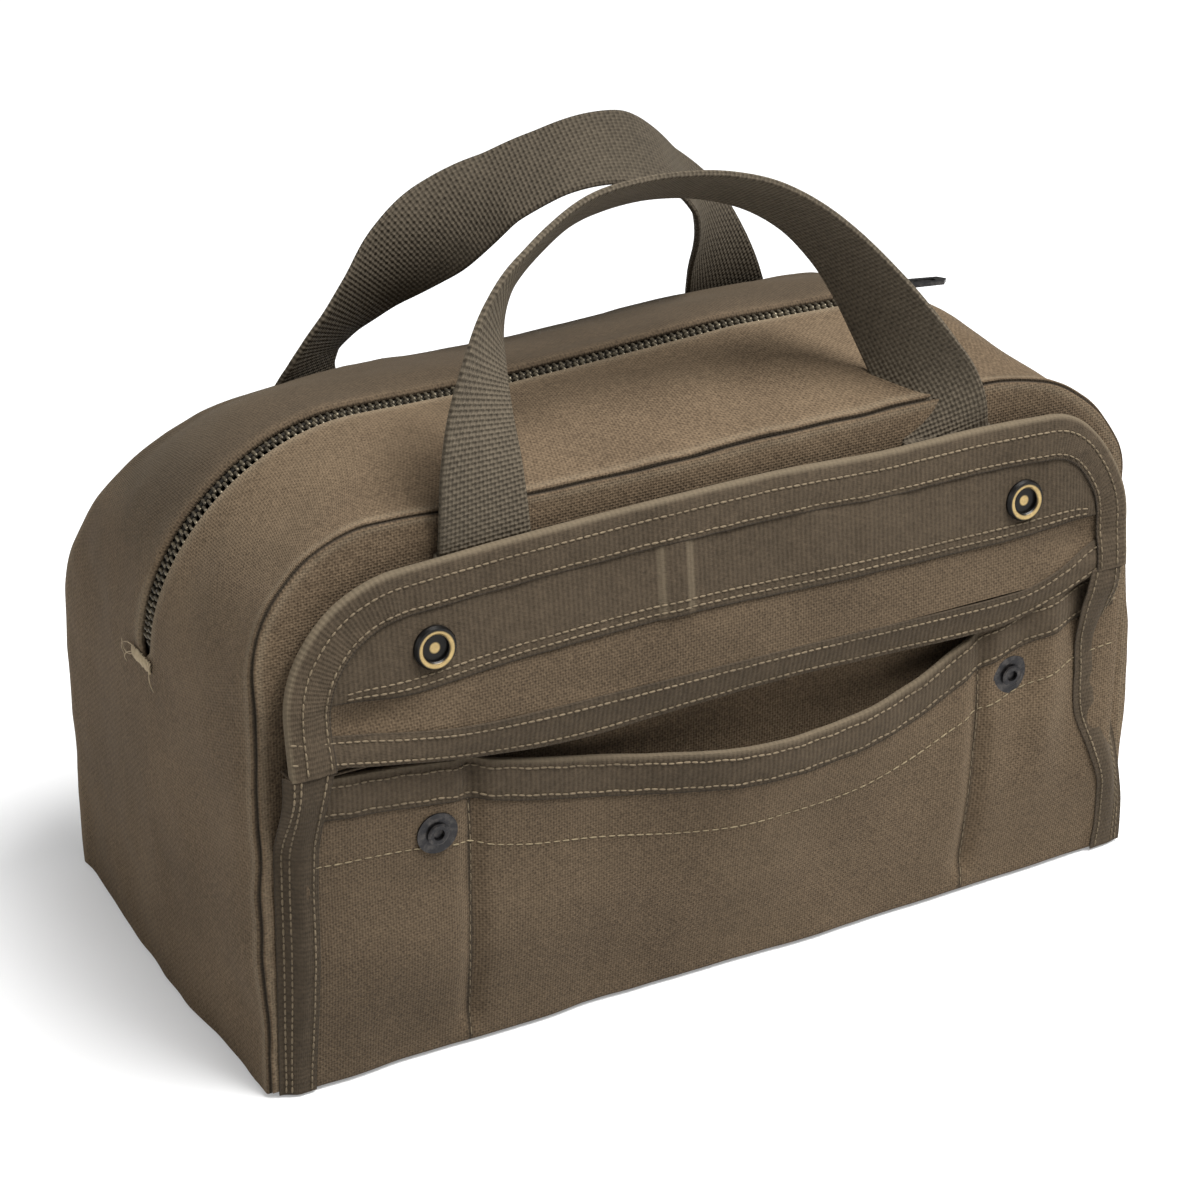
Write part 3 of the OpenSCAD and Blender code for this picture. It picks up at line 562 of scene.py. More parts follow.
def repeatAlong(name, lines, unit, pitch, material, jitter=0.12, seed=1):
    # Each line is its points in millimetres and the direction that its face looks in. Gives one plain mesh.
    verts, edges, faces = [], [], []
    for points, up in lines:
        base = len(verts)
        verts.extend((np.asarray(points) * mm).tolist())
        faces.extend(np.broadcast_to(up, np.shape(points)).tolist())
        edges.extend((base + i, base + i + 1) for i in range(len(points) - 1))
    mesh = bpy.data.meshes.new(name + "Lines")
    mesh.from_pydata(verts, edges, [])
    attr = mesh.attributes.new("face", "FLOAT_VECTOR", "POINT")
    attr.data.foreach_set("vector", np.asarray(faces, np.float32).ravel())
    carrier = bpy.data.objects.new(name + "Lines", mesh)
    bpy.context.scene.collection.objects.link(carrier)
    mod = carrier.modifiers.new("repeat", "NODES")
    mod.node_group = repeats
    for label, value in (("Unit", unit), ("Pitch", pitch * mm), ("Jitter", jitter), ("Seed", seed),
                         ("Finish", material)):
        mod[repeatInputs[label]] = value
    bpy.context.view_layer.update()
    done = bpy.data.meshes.new_from_object(carrier.evaluated_get(bpy.context.evaluated_depsgraph_get()))
    bpy.data.objects.remove(carrier)
    done.name = name
    for extra in [a.name for a in done.attributes if a.name == "face"]:
        done.attributes.remove(done.attributes[extra])
    obj = bpy.data.objects.new(name, done)
    bpy.context.scene.collection.objects.link(obj)
    if not done.materials or done.materials[0] is None:
        done.materials.clear()
        done.materials.append(material)
    return obj


# Shape of the bag.

leanStep = np.linspace(0, 240, 961)
leanAngle = math.radians(cad["backLean"]) * ease((leanStep - 92) / 30)
leanY = np.concatenate([[0], np.cumsum(np.sin(leanAngle[1:]) * 0.25)])
leanZ = np.concatenate([[0], np.cumsum(np.cos(leanAngle[1:]) * 0.25)])


def onSide(upright, side):
    # Takes points drawn on the upright front side to the given side. The back one leans in at its top.
    p = np.asarray(upright, float)
    if side < 0:
        return p.copy()
    depth = p[..., 1] + cad["panelY"]
    angle = np.interp(p[..., 2], leanStep, leanAngle)
    y = -cad["panelY"] + np.interp(p[..., 2], leanStep, leanY) + depth * np.cos(angle)
    z = np.interp(p[..., 2], leanStep, leanZ) - depth * np.sin(angle)
    return np.stack([p[..., 0], -y, z], axis=-1)


shell = {
    "stations": (58, 52, 104), "seamRadius": {-1: 36.0, 1: 46.0}, "seamHalf": 145.6, "gap": 5.0,
    "thickness": 1.3, "fold": 2.4, "groove": 1.25, "grooveReach": 0.8,
    "flat": {"left": (250, 66, 0.0143), "mid": (92, 68, 0.0060), "right": (310, 66, 0.0193)},
    "endPanels": {"left": ["end_panel_left"], "mid": [], "right": ["end_panel_right"]},
}


def archRun(half, top, radius, foot):
    upN, turnN, topN = shell["stations"]
    left = np.stack([np.full(upN, -half), np.linspace(foot, top - radius, upN, endpoint=False)], axis=1)
    turn = np.linspace(math.pi, math.pi / 2, turnN, endpoint=False)
    corner = np.stack([-(half - radius) + radius * np.cos(turn), top - radius + radius * np.sin(turn)],
                      axis=1)
    over = np.stack([np.linspace(-(half - radius), half - radius, topN), np.full(topN, float(top))], axis=1)
    mirrored = np.vstack([left, corner])[::-1] * [-1, 1]
    return np.vstack([left, corner, over, mirrored])


seamTopLine = {-1: [(-150, 0.0), (-100, 0.6), (-70, -0.6), (-30, -1.0), (10, 0.3), (45, -0.4), (80, 0.8),
                    (150, 0.0)],
               1: [(-150, 0.0), (-100, 0.6), (-70, -0.4), (-45, -2.4), (-22, -2.8), (0, -1.6), (25, -0.4),
                   (75, 0.2), (150, 0.0)]}
zipTopLine = [(-150, 0.0), (-88, -0.8), (-45, -1.6), (-10, -0.4), (35, 1.6), (80, 0.4), (150, 0.0)]


def settle(points, side):
    # The photographed bag slumps: its right end leans in, and its back left corner is rounder than drawn.
    p = points.copy()
    x, z = points[..., 0], points[..., 2]
    # Near the zip's end stop the right end stays where the stop is.
    right = ease((x - 88) / 54)
    held = np.exp(-((p[..., 1] - cad["zipY"]) / 26) ** 2) * (1 - ease((z - 118) / 20)) * ease((z - 70) / 30)
    p[..., 0] -= 7.2 * right * ease((z - 60) / 75) * (1 - held)
    p[..., 2] -= 6.6 * ease((x - 86) / 46) * ease((z - 112) / 44)
    if side > 0:
        left = ease((-x - 66) / 70)
        p[..., 0] += 5.5 * left * ease((z - 88) / 50)
        p[..., 2] -= 6.0 * ease((-x - 66) / 50) * ease((z - 105) / 50)
    return p


def seamRun(side):
    # Seam of one long side on the upright side: x, y, z for each station.
    run = archRun(shell["seamHalf"], cad["seamTop"], shell["seamRadius"][side], 0.9)
    out = np.stack([run[:, 0], np.full(len(run), -cad["panelY"]), run[:, 1]], axis=1)
    lift = np.interp(run[:, 0], *zip(*seamTopLine[side])) * ease((run[:, 1] - 120) / 40)
    wave = layers(out + [0, 40 * side, 0], (26.0, 5, 0.9), (11.0, 6, 0.35))
    narrow = 2.4 * ease((run[:, 1] - 55) / 75) * (1 if side > 0 else 0.45)
    middle = np.array([0, -cad["panelY"], 75.0])
    direction = unitRows(middle - out)
    out[:, 0] -= np.sign(out[:, 0]) * narrow * ease((np.abs(out[:, 0]) - 90) / 40)
    out[:, 2] += lift
    return settle(out + direction * (wave * ease(run[:, 1] / 20))[:, None], side)


def zipRun():
    run = archRun(cad["zipHalf"], cad["zipTop"], cad["zipCorner"], 0.9)
    y = -2.5 + (cad["zipY"] + 2.5) * ease((run[:, 1] - 95) / 72)
    out = np.stack([run[:, 0], y, run[:, 1]], axis=1)
    out[:, 2] += np.interp(run[:, 0], *zip(*zipTopLine)) * ease((run[:, 1] - 150) / 22)
    out[:, 0] += np.sign(out[:, 0]) * 1.2 * np.sin(math.pi * np.clip(run[:, 1] / 118, 0, 1))
    return settle(out, 0)


zipLine = zipRun()
zipOpen = shell["gap"] * ease((zipLine[:, 2] - 106.0) / 6.0)
zipOutward = unitRows(np.stack([np.gradient(zipLine[:, 2]) * -1, 0 * zipLine[:, 0],
                                np.gradient(zipLine[:, 0])], axis=1))
shellLengths = along(zipLine)
nearSeam = np.array([0, 0.35, 0.7, 1.1, 1.6, 2.2, 3.0, 4.2, 6.0, 8.5])
nearZip = np.array([9.0, 6.5, 4.6, 3.2, 2.0, 1.1, 0.5, 0])


def shellGrid(side):
    # Cloth from a side's seam to the zip, or to the middle of each end below the zip: stations by rows.
    seam = onSide(seamRun(side), side)
    edge = zipLine + np.stack([0 * zipOpen, side * zipOpen, 0 * zipOpen], axis=1)
    width = 62.0
    shares = np.concatenate([nearSeam / width, np.linspace(11.5, width - 11.5, 20) / width,
                             1 - nearZip / width])
    rise = np.sin(math.pi / 2 * shares)
    grid = np.empty((len(seam), len(shares), 3))
    for axis, share in ((0, rise), (1, shares), (2, rise)):
        grid[..., axis] = seam[:, None, axis] * (1 - share) + edge[:, None, axis] * share
    n = gridNormals(grid)
    if np.mean(n[:, :, 2][60:150]) < 0:
        n = -n
    d = shares * width
    fade = ease(d / 9) * ease((width - d) / 12)
    bulge = layers(grid, (52.0, 11, 1.5), (21.0, 12, 0.75), (9.0, 13, 0.22))
    pucker = valueNoise(grid, 6.5, 14) * 0.28 * bell(d, 4.5, 4.5)
    pucker = pucker + valueNoise(grid, 8.0, 15) * 0.2 * np.exp(-((width - d - 5) / 5) ** 2)
    grid = grid + n * (bulge * fade + pucker)[..., None]
    cut = shell["groove"] * np.exp(-(d / shell["grooveReach"]) ** 2)
    inward = onSide(seamRun(side) + [0, 1.0, 0], side) - seam
    grid = grid - n * cut[None, :, None] + inward[:, None] * cut[None, :, None]
    # Painted shade darkens the seam's groove, with a faint painted highlight on the ridge beside it.
    shade = -1.0 * bell(d, 0, 0.9) + 0.16 * bell(d, 2.6, 1.2)
    # A painted highlight along the cloth's folded lip where the zip opens.
    lipHighlight = 0.2 * np.exp(-((width - d) / 2.2) ** 2)
    openShare = (zipOpen / shell["gap"])[:, None]
    # The back side is also painted darker towards its top, as painted shade.
    shade = shade[None] + lipHighlight[None] * openShare - (0.6 if side > 0 else 0) * ease((zipLine[:, 2:] - 120) / 40)
    uv = gridUv(shellLengths, shares * width)
    thicker = (shell["fold"] - shell["thickness"]) * ease((8 - (width - d)) / 3)[None] * openShare
    thick = shell["thickness"] + thicker
    return grid, gridNormals(grid), uv, thick, shade


total = len(zipLine)
leftCut = int(np.argmin(np.abs(zipLine[:total // 2, 0] + 88)))
middleCut = total // 2
spans = {"left": (0, leftCut), "mid": (leftCut, middleCut), "right": (middleCut, total - 1)}


def bendAtZip(part, side, obj):
    # Lets cloth at the zip follow its long side where the zip opens, and the ends where it stays closed.
    if part == "left":
        g, start = np.array([0, side * 0.0234, 0.004]), np.array([-88.0, cad["zipY"], 172.0])
    elif part == "mid":
        g, start = np.array([1 / 80.0, side * 0.0234, 0.004]), np.array([-88.0, cad["zipY"], 172.0])
    else:
        g, start = np.array([0, side * 22.08 / 571, 9.24 / 571]), np.array([0.0, cad["zipY"], 110.0])
    end = start + g / (g @ g)
    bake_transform(obj, "bag_base", sideName(side) + "_side", start=tuple(start * mm), end=tuple(end * mm))


def sideName(side):
    return "front" if side < 0 else "back"


def declare(obj, width, length, held, rests, area=None):
    width * mm
    length * mm


def dress(obj, node, body):
    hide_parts(node)
    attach(obj, body)
    return obj


for side in (-1, 1):
    grid, normals, uv, thick, shade = shellGrid(side)
    turned = np.mean(normals[60:150, :, 2]) < 0
    outwardN = -normals if turned else normals
    for part, (i0, i1) in spans.items():
        piece = Piece("shell_%s_%s" % (part, sideName(side)))
        cut = slice(i0, i1 + 1)
        piece.grid(grid[cut], normals[cut], uv[cut], shade[cut], flip=turned)
        inner = grid - outwardN * thick[..., None]
        piece.grid(inner[cut], normals[cut], uv[cut], shade[cut] * 0.4, flip=not turned)
        last = grid.shape[1] - 1
        lap = [(i, 0) for i in range(i0, i1)] + [(i1, j) for j in range(last)]
        lap += [(i, last) for i in range(i1, i0, -1)] + [(i0, j) for j in range(last, -1, -1)]
        rows, columns = np.array(lap).T
        o, i, n = grid[rows, columns], inner[rows, columns], outwardN[rows, columns]
        atZip = (columns == last) & (zipOpen[rows] > 0.02)
        away = unitRows(grid[rows, -1] - grid[rows, -3]) * atZip[:, None]
        angles = np.linspace(0, math.pi, 7)
        reach = thick[rows, columns, None] / 2
        strip = np.stack([(o + i) / 2 + (n * math.cos(g) + away * math.sin(g)) * reach for g in angles],
                         axis=1)
        tangent = unitRows(np.roll(o, -1, axis=0) - np.roll(o, 1, axis=0))
        sideways = unitRows(np.cross(n, tangent) if turned else np.cross(tangent, n))
        stripN = np.stack([n * math.cos(g) + sideways * math.sin(g) for g in angles], axis=1)
        stripUv = np.repeat(uv[rows, columns][:, None], 7, axis=1)
        stripUv = stripUv + np.stack([0 * angles, angles * 0.8], axis=-1)[None]
        piece.grid(strip, stripN if turned else -stripN, stripUv,
                   np.repeat(shade[rows, columns][:, None], 7, axis=1), flip=not turned)
        obj = piece.build(canvas)
        bendAtZip(part, side, obj)
        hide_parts("gusset_" + sideName(side), *shell["endPanels"][part])
        width, length, cloth = shell["flat"][part]
        declare(obj, width, length, "stretched", ["panel_cloth_" + sideName(side)], area=cloth)
print("shell made")


def innerRings(outline, centre, depths):
    # Rings of a flat piece, from its outline to its centre.
    reach = np.linalg.norm(outline - centre, axis=1, keepdims=True)
    rows = [centre + (outline - centre) * np.maximum(1 - d / reach, 0) for d in depths]
    return np.stack(rows, axis=1)


panelCentre = np.array([0, -cad["panelY"], 84.0])
panel = {"thickness": 1.3, "flat": (292, 171), "area": 0.0478}
panelRings = [0, 0.35, 0.7, 1.1, 1.6, 2.2, 3.0, 4.2, 6, 9, 13, 18, 24, 32, 42, 54, 200]
for side in (-1, 1):
    name = sideName(side)
    seam = seamRun(side)
    foot = np.stack([np.linspace(seam[-1, 0], seam[0, 0], 90)[1:-1], np.full(88, -cad["panelY"]),
                     np.full(88, 0.9)], axis=1)
    loop = np.vstack([seam, foot, seam[:1]])
    rings = innerRings(loop, panelCentre, panelRings)
    depth = np.array(panelRings)
    bulge = valueNoise(rings + [0, 300 * side, 0], 40.0, 21) * 0.35 * ease(depth / 12)[None]
    pucker = valueNoise(rings + [0, 300 * side, 0], 6.0, 22) * 0.25 * bell(depth, 4.5, 4)[None]
    cut = shell["groove"] * np.exp(-(depth / shell["grooveReach"]) ** 2)
    toCentre = unitRows(panelCentre - loop)
    rings[..., 1] += cut[None] - bulge - pucker
    rings += toCentre[:, None] * cut[None, :, None]
    placed = onSide(rings, side)
    n = gridNormals(placed)
    n[0] = n[-1] = unitRows(n[0] + n[-1])
    n[:, -1] = unitRows(n[:, -2].mean(axis=0))
    # Painted shade darkens the seam's groove, with a faint painted highlight on the ridge beside it.
    shade = (-1.0 * bell(depth, 0, 0.9) + 0.16 * bell(depth, 2.6, 1.2))[None] + np.zeros((len(loop), 1))
    turned = np.mean(n[..., 1]) * side < 0
    piece = Piece("panel_cloth_" + name)
    outN = -n if turned else n
    inner = placed - outN * panel["thickness"]
    piece.grid(placed, n, rings[..., [0, 2]], shade, flip=turned)
    piece.grid(inner, n, rings[..., [0, 2]], shade * 0, flip=not turned)
    hem = np.stack([placed[:, 0], inner[:, 0]], axis=1)
    hemN = np.repeat(unitRows(placed[:, 0] - placed[:, 3])[:, None], 2, axis=1)
    piece.grid(hem, hemN if turned else -hemN, rings[:, :2][..., [0, 2]], None, flip=not turned)
    obj = dress(piece.build(canvas), "panel_" + name, name + "_side")
    declare(obj, *panel["flat"], "stretched", ["gusset_" + name, "bottom_panel"], area=panel["area"])
print("panels made")

# Bottom.
bottom = {"half": (143.6, 70.4), "hem": 5.0, "thickness": 1.4, "flat": (297, 150), "area": 0.0442}
bx, by = np.meshgrid(np.linspace(-1, 1, 90), np.linspace(-1, 1, 46), indexing="ij")
plan = np.stack([bx * bottom["half"][0], by * bottom["half"][1], 0 * bx], axis=-1)
sag = 0.9 + valueNoise(plan, 40, 31) * 0.4 + 0.5 * np.maximum(np.abs(bx) ** 12, np.abs(by) ** 10)
hem = np.maximum(np.abs(bx), np.abs(by)) > 0.999
plan[..., 2] = np.maximum(sag, 0.25) + bottom["hem"] * hem
piece = Piece("bottom_cloth")
clothSheet(piece, plan, plan[..., :2], bottom["thickness"], flip=gridNormals(plan)[5, 5, 2] > 0)
obj = dress(piece.build(canvas), "bottom_panel", "bag_base")
declare(obj, *bottom["flat"], "stretched", ["panel_cloth_front", "panel_cloth_back"], area=bottom["area"])
print("bottom made")

# Pockets and tapes on the long sides.

stitches = {}


def stitch(key, points, up, kind="close"):
    stitches.setdefault((key, kind), []).append((np.asarray(points, float), np.asarray(up, float)))


flapSizes = {
    "half": 138.0, "corner": 34.0, "height": 51, "binding": 12.5, "cloth": 1.0, "ring": (4.6, 0.75),
    "drawnIn": {-1: (6.8, 0), 1: (8.5, 5.0)},  # how far its right and its left end lean in
    "facingLow": [(-130, 20), (-122, 19), (-103, 17), (-69, 19.5), (-15, 20.5), (20, 19.2), (48, 18.4),
                  (90, 17.6), (130, 19)],
    "frontTop": [(-140, 50), (-118, 50.5), (-101, 51.6), (-61, 53.2), (-14, 54.2), (17, 54), (48, 52.6),
                 (81, 52.6), (108, 51.6), (140, 50)],
    "flat": (276, 54), "area": 0.0139, "facingFlat": (253, 24), "facingArea": 0.0058,
    "bindingFlat": (372, 27),
}
lean = math.radians(cad["flapLean"])
flapAxes = {
    -1: (np.array([0, -cad["flapY"], cad["flapZ"]]), np.array([0, math.sin(lean), math.cos(lean)]),
         np.array([0, -math.cos(lean), math.sin(lean)])),
    1: (np.array([0, cad["flapY"], cad["flapZ"]]), np.array([0, 0, -1.0]), np.array([0, -1.0, 0])),
}


def onFlap(side, x, h, n):
    base, up, out = flapAxes[side]
    x, h, n = np.broadcast_arrays(np.asarray(x, float), np.asarray(h, float), np.asarray(n, float))
    fromRight, fromLeft = flapSizes["drawnIn"][side]
    x = x - fromRight * ease((x - 104) / 34) + fromLeft * ease((-x - 104) / 34)
    return base + x[..., None] * np.array([1.0, 0, 0]) + h[..., None] * up + n[..., None] * out


def flapTop(side, x):
    if side > 0:
        return flapSizes["height"] + 0.4 * np.sin(x / 23)
    keys = throughPoints(flapSizes["frontTop"], 120)
    return np.interp(x, keys[:, 0], keys[:, 1])


def flapOutline(side, inset):
    # From the left end of the fold round the flap to its right end, as x and h.
    half, radius = flapSizes["half"] - inset, flapSizes["corner"] - inset
    c, top = flapSizes["half"] - flapSizes["corner"], flapSizes["height"]
    upright = np.linspace(0.9, top - flapSizes["corner"], 16, endpoint=False)
    a = np.linspace(math.pi, math.pi / 2, 44, endpoint=False)
    xs = np.linspace(-c, c, 150)
    left = np.stack([np.full(16, -half), upright], axis=1)
    corner = np.stack([-c + radius * np.cos(a), top - flapSizes["corner"] + radius * np.sin(a)], axis=1)
    over = np.stack([xs, np.full(150, top - inset)], axis=1)
    run = np.vstack([left, corner, over, np.vstack([left, corner])[::-1] * [-1, 1]])
    run[:, 1] += (flapTop(side, run[:, 0]) - top) * ease((run[:, 1] - 12) / 26)
    return run


def flapWave(side, x, h):
    # How far the flap's cloth stands off its flat plane, towards its inner face.
    pts = np.stack(np.broadcast_arrays(x, h, 50.0 * side + 0 * x), axis=-1)
    snaps = spot(np.abs(x), h, (cad["snapX"], cad["snapDrop"]), (11, 11))
    w = layers(pts, (38.0, 91, 0.9), (15.0, 92, 0.35))
    if side < 0:
        w = w - 3.0 * spot(x, h, (-116, 13), (13, 5.5)) - 2.0 * spot(x, h, (114, 14), (14, 6))
        w = w + 0.8 * spot(x, h, (5, 14), (60, 9))
    return w * (1 - snaps) * ease(h / 6)


handleFeet = {(-1, -1): -76.6, (-1, 1): 71.4, (1, -1): -74.0, (1, 1): 74.0}
pockets = {
    -1: {"mouth": [(-140, 101), (-128, 100.5), (-104, 97.5), (-84, 94), (-60, 88), (-40, 83.5), (-14, 79.5),
                   (8, 77), (36, 77.5), (60, 82.5), (84, 91.5), (104, 98), (128, 102), (140, 102)],
         "gape": 6.5, "held": "gathered", "area": 0.0248},
    1: {"mouth": [(-140, 95), (-84, 94), (-40, 84), (0, 79.5), (40, 84), (84, 94), (140, 95)], "gape": 0.0,
        "held": "stretched", "area": 0.0236},
    "flat": (277, 100), "bindingFlat": (270, 23),
}
pocketX = np.concatenate([
    np.linspace(-134, -90, 40, endpoint=False), np.linspace(-90, -78, 16, endpoint=False),
    np.linspace(-78, 78, 150, endpoint=False), np.linspace(78, 90, 16, endpoint=False),
    np.linspace(90, 134, 40)])


def mouthAt(side, x):
    keys = throughPoints(pockets[side]["mouth"], 200)
    return np.interp(x, keys[:, 0], keys[:, 1])


def pocketOut(side, x, z):
    # Outer face of the pocket cloth on the upright side, as y.
    x, z = np.broadcast_arrays(np.asarray(x, float), np.asarray(z, float))
    mouth = mouthAt(side, x)
    near = ease(1 - (mouth - z) / 46)
    gape = pockets[side]["gape"] * near * np.exp(-(((x - 14) / 44) ** 2) ** 1.4)
    snaps = spot(np.abs(x), z, (cad["snapX"], 75), (9, 9))
    seams = 2.6 * np.exp(-((np.abs(x) - cad["divider"]) / 3.6) ** 2) * ease((z - 3) / 10)
    pts = np.stack([x, np.full_like(x, 10.0 * side), z], axis=-1)
    wave = valueNoise(pts, 34.0, 41) * 1.3 + valueNoise(pts * [1, 1, 0.35], 15.0, 42) * 0.75
    wave = wave + valueNoise(pts, 7.5, 43) * 0.2
    folds = 2.0 * np.sin((x - 100) / 4.6) * bell(x, 108, 14) * ease((z - 18) / 50) * (side < 0)
    wave = (wave + folds + 0.5) * (1 - snaps)
    flat = ease((136 - np.abs(x)) / 5)
    foot = 4.6 * ease((46 - z) / 46) ** 1.3
    rippled = np.maximum(wave, -1.2) * flat * (0.4 if side > 0 else 1)
    return -(cad["pocketFace"] - foot + gape + rippled - seams * (1 - snaps))


# Both side tapes of a pocket by side and end, each as (z, x) along its outer and its inner edge.
sideTape = {
    "edges": {
        (-1, -1): ([(2, -142.6), (40, -141.6), (80, -140.8), (106, -140.4)],
                   [(2, -132.5), (58, -131), (90, -129.5), (106, -126.4)]),
        (-1, 1): ([(2, 145.5), (17, 145), (35, 141.5), (52, 137), (80, 131.6), (106, 131.6)],
                  [(2, 134), (12, 134), (28, 131), (43, 125), (57, 119.5), (72, 118.5), (92, 117.5),
                   (106, 119.5)]),
        (1, -1): ([(2, -142), (104, -141)], [(2, -130), (104, -129.5)]),
        (1, 1): ([(2, 142), (104, 141)], [(2, 130), (104, 129.5)]),
    },
    "top": {-1: 105.4, 1: 104.0}, "thickness": 0.5, "shade": {-1: 0.22, 1: 0.1}, "flat": (25, 106),
}
hingeTape = {
    "ends": {-1: (-137.5, 130.0), 1: (-132.5, 129.0)}, "thickness": 0.8,
    "flat": (276, 12), "ledgeFlat": (278, 10),
    "low": [(-138, 109), (-130, 107), (-105, 101.5), (-85, 97.5), (-53, 94.4), (-16, 95.4), (15, 96),
            (48, 95), (88, 94), (108, 99), (122, 105), (138, 109)],
    "high": [(-138, 117), (-130, 115), (-105, 110.6), (-82, 107.2), (-41, 106), (15, 105.4), (81, 104),
             (101, 105.6), (120, 114), (138, 119)],
    "back": [(-73.9, 113), (-74.6, 109.5), (-76.3, 106.4), (-79, 105), (-81.4, 104.5)],
}
handleEnd = {"half": 14, "low": 109.3, "top": 156.0, "out": 74.6, "thickness": 1.9, "flat": (28, 93),
             "box": [(-11.5, 112), (11.5, 112), (11.5, 146), (-11.5, 146), (-11.5, 112), (11.5, 146)],
             "cross": [(-11.5, 146), (11.5, 112)]}


def giveWay(obj, side):
    # Gives each front piece its own copy of its mesh.
    if side < 0:
        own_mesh(obj)


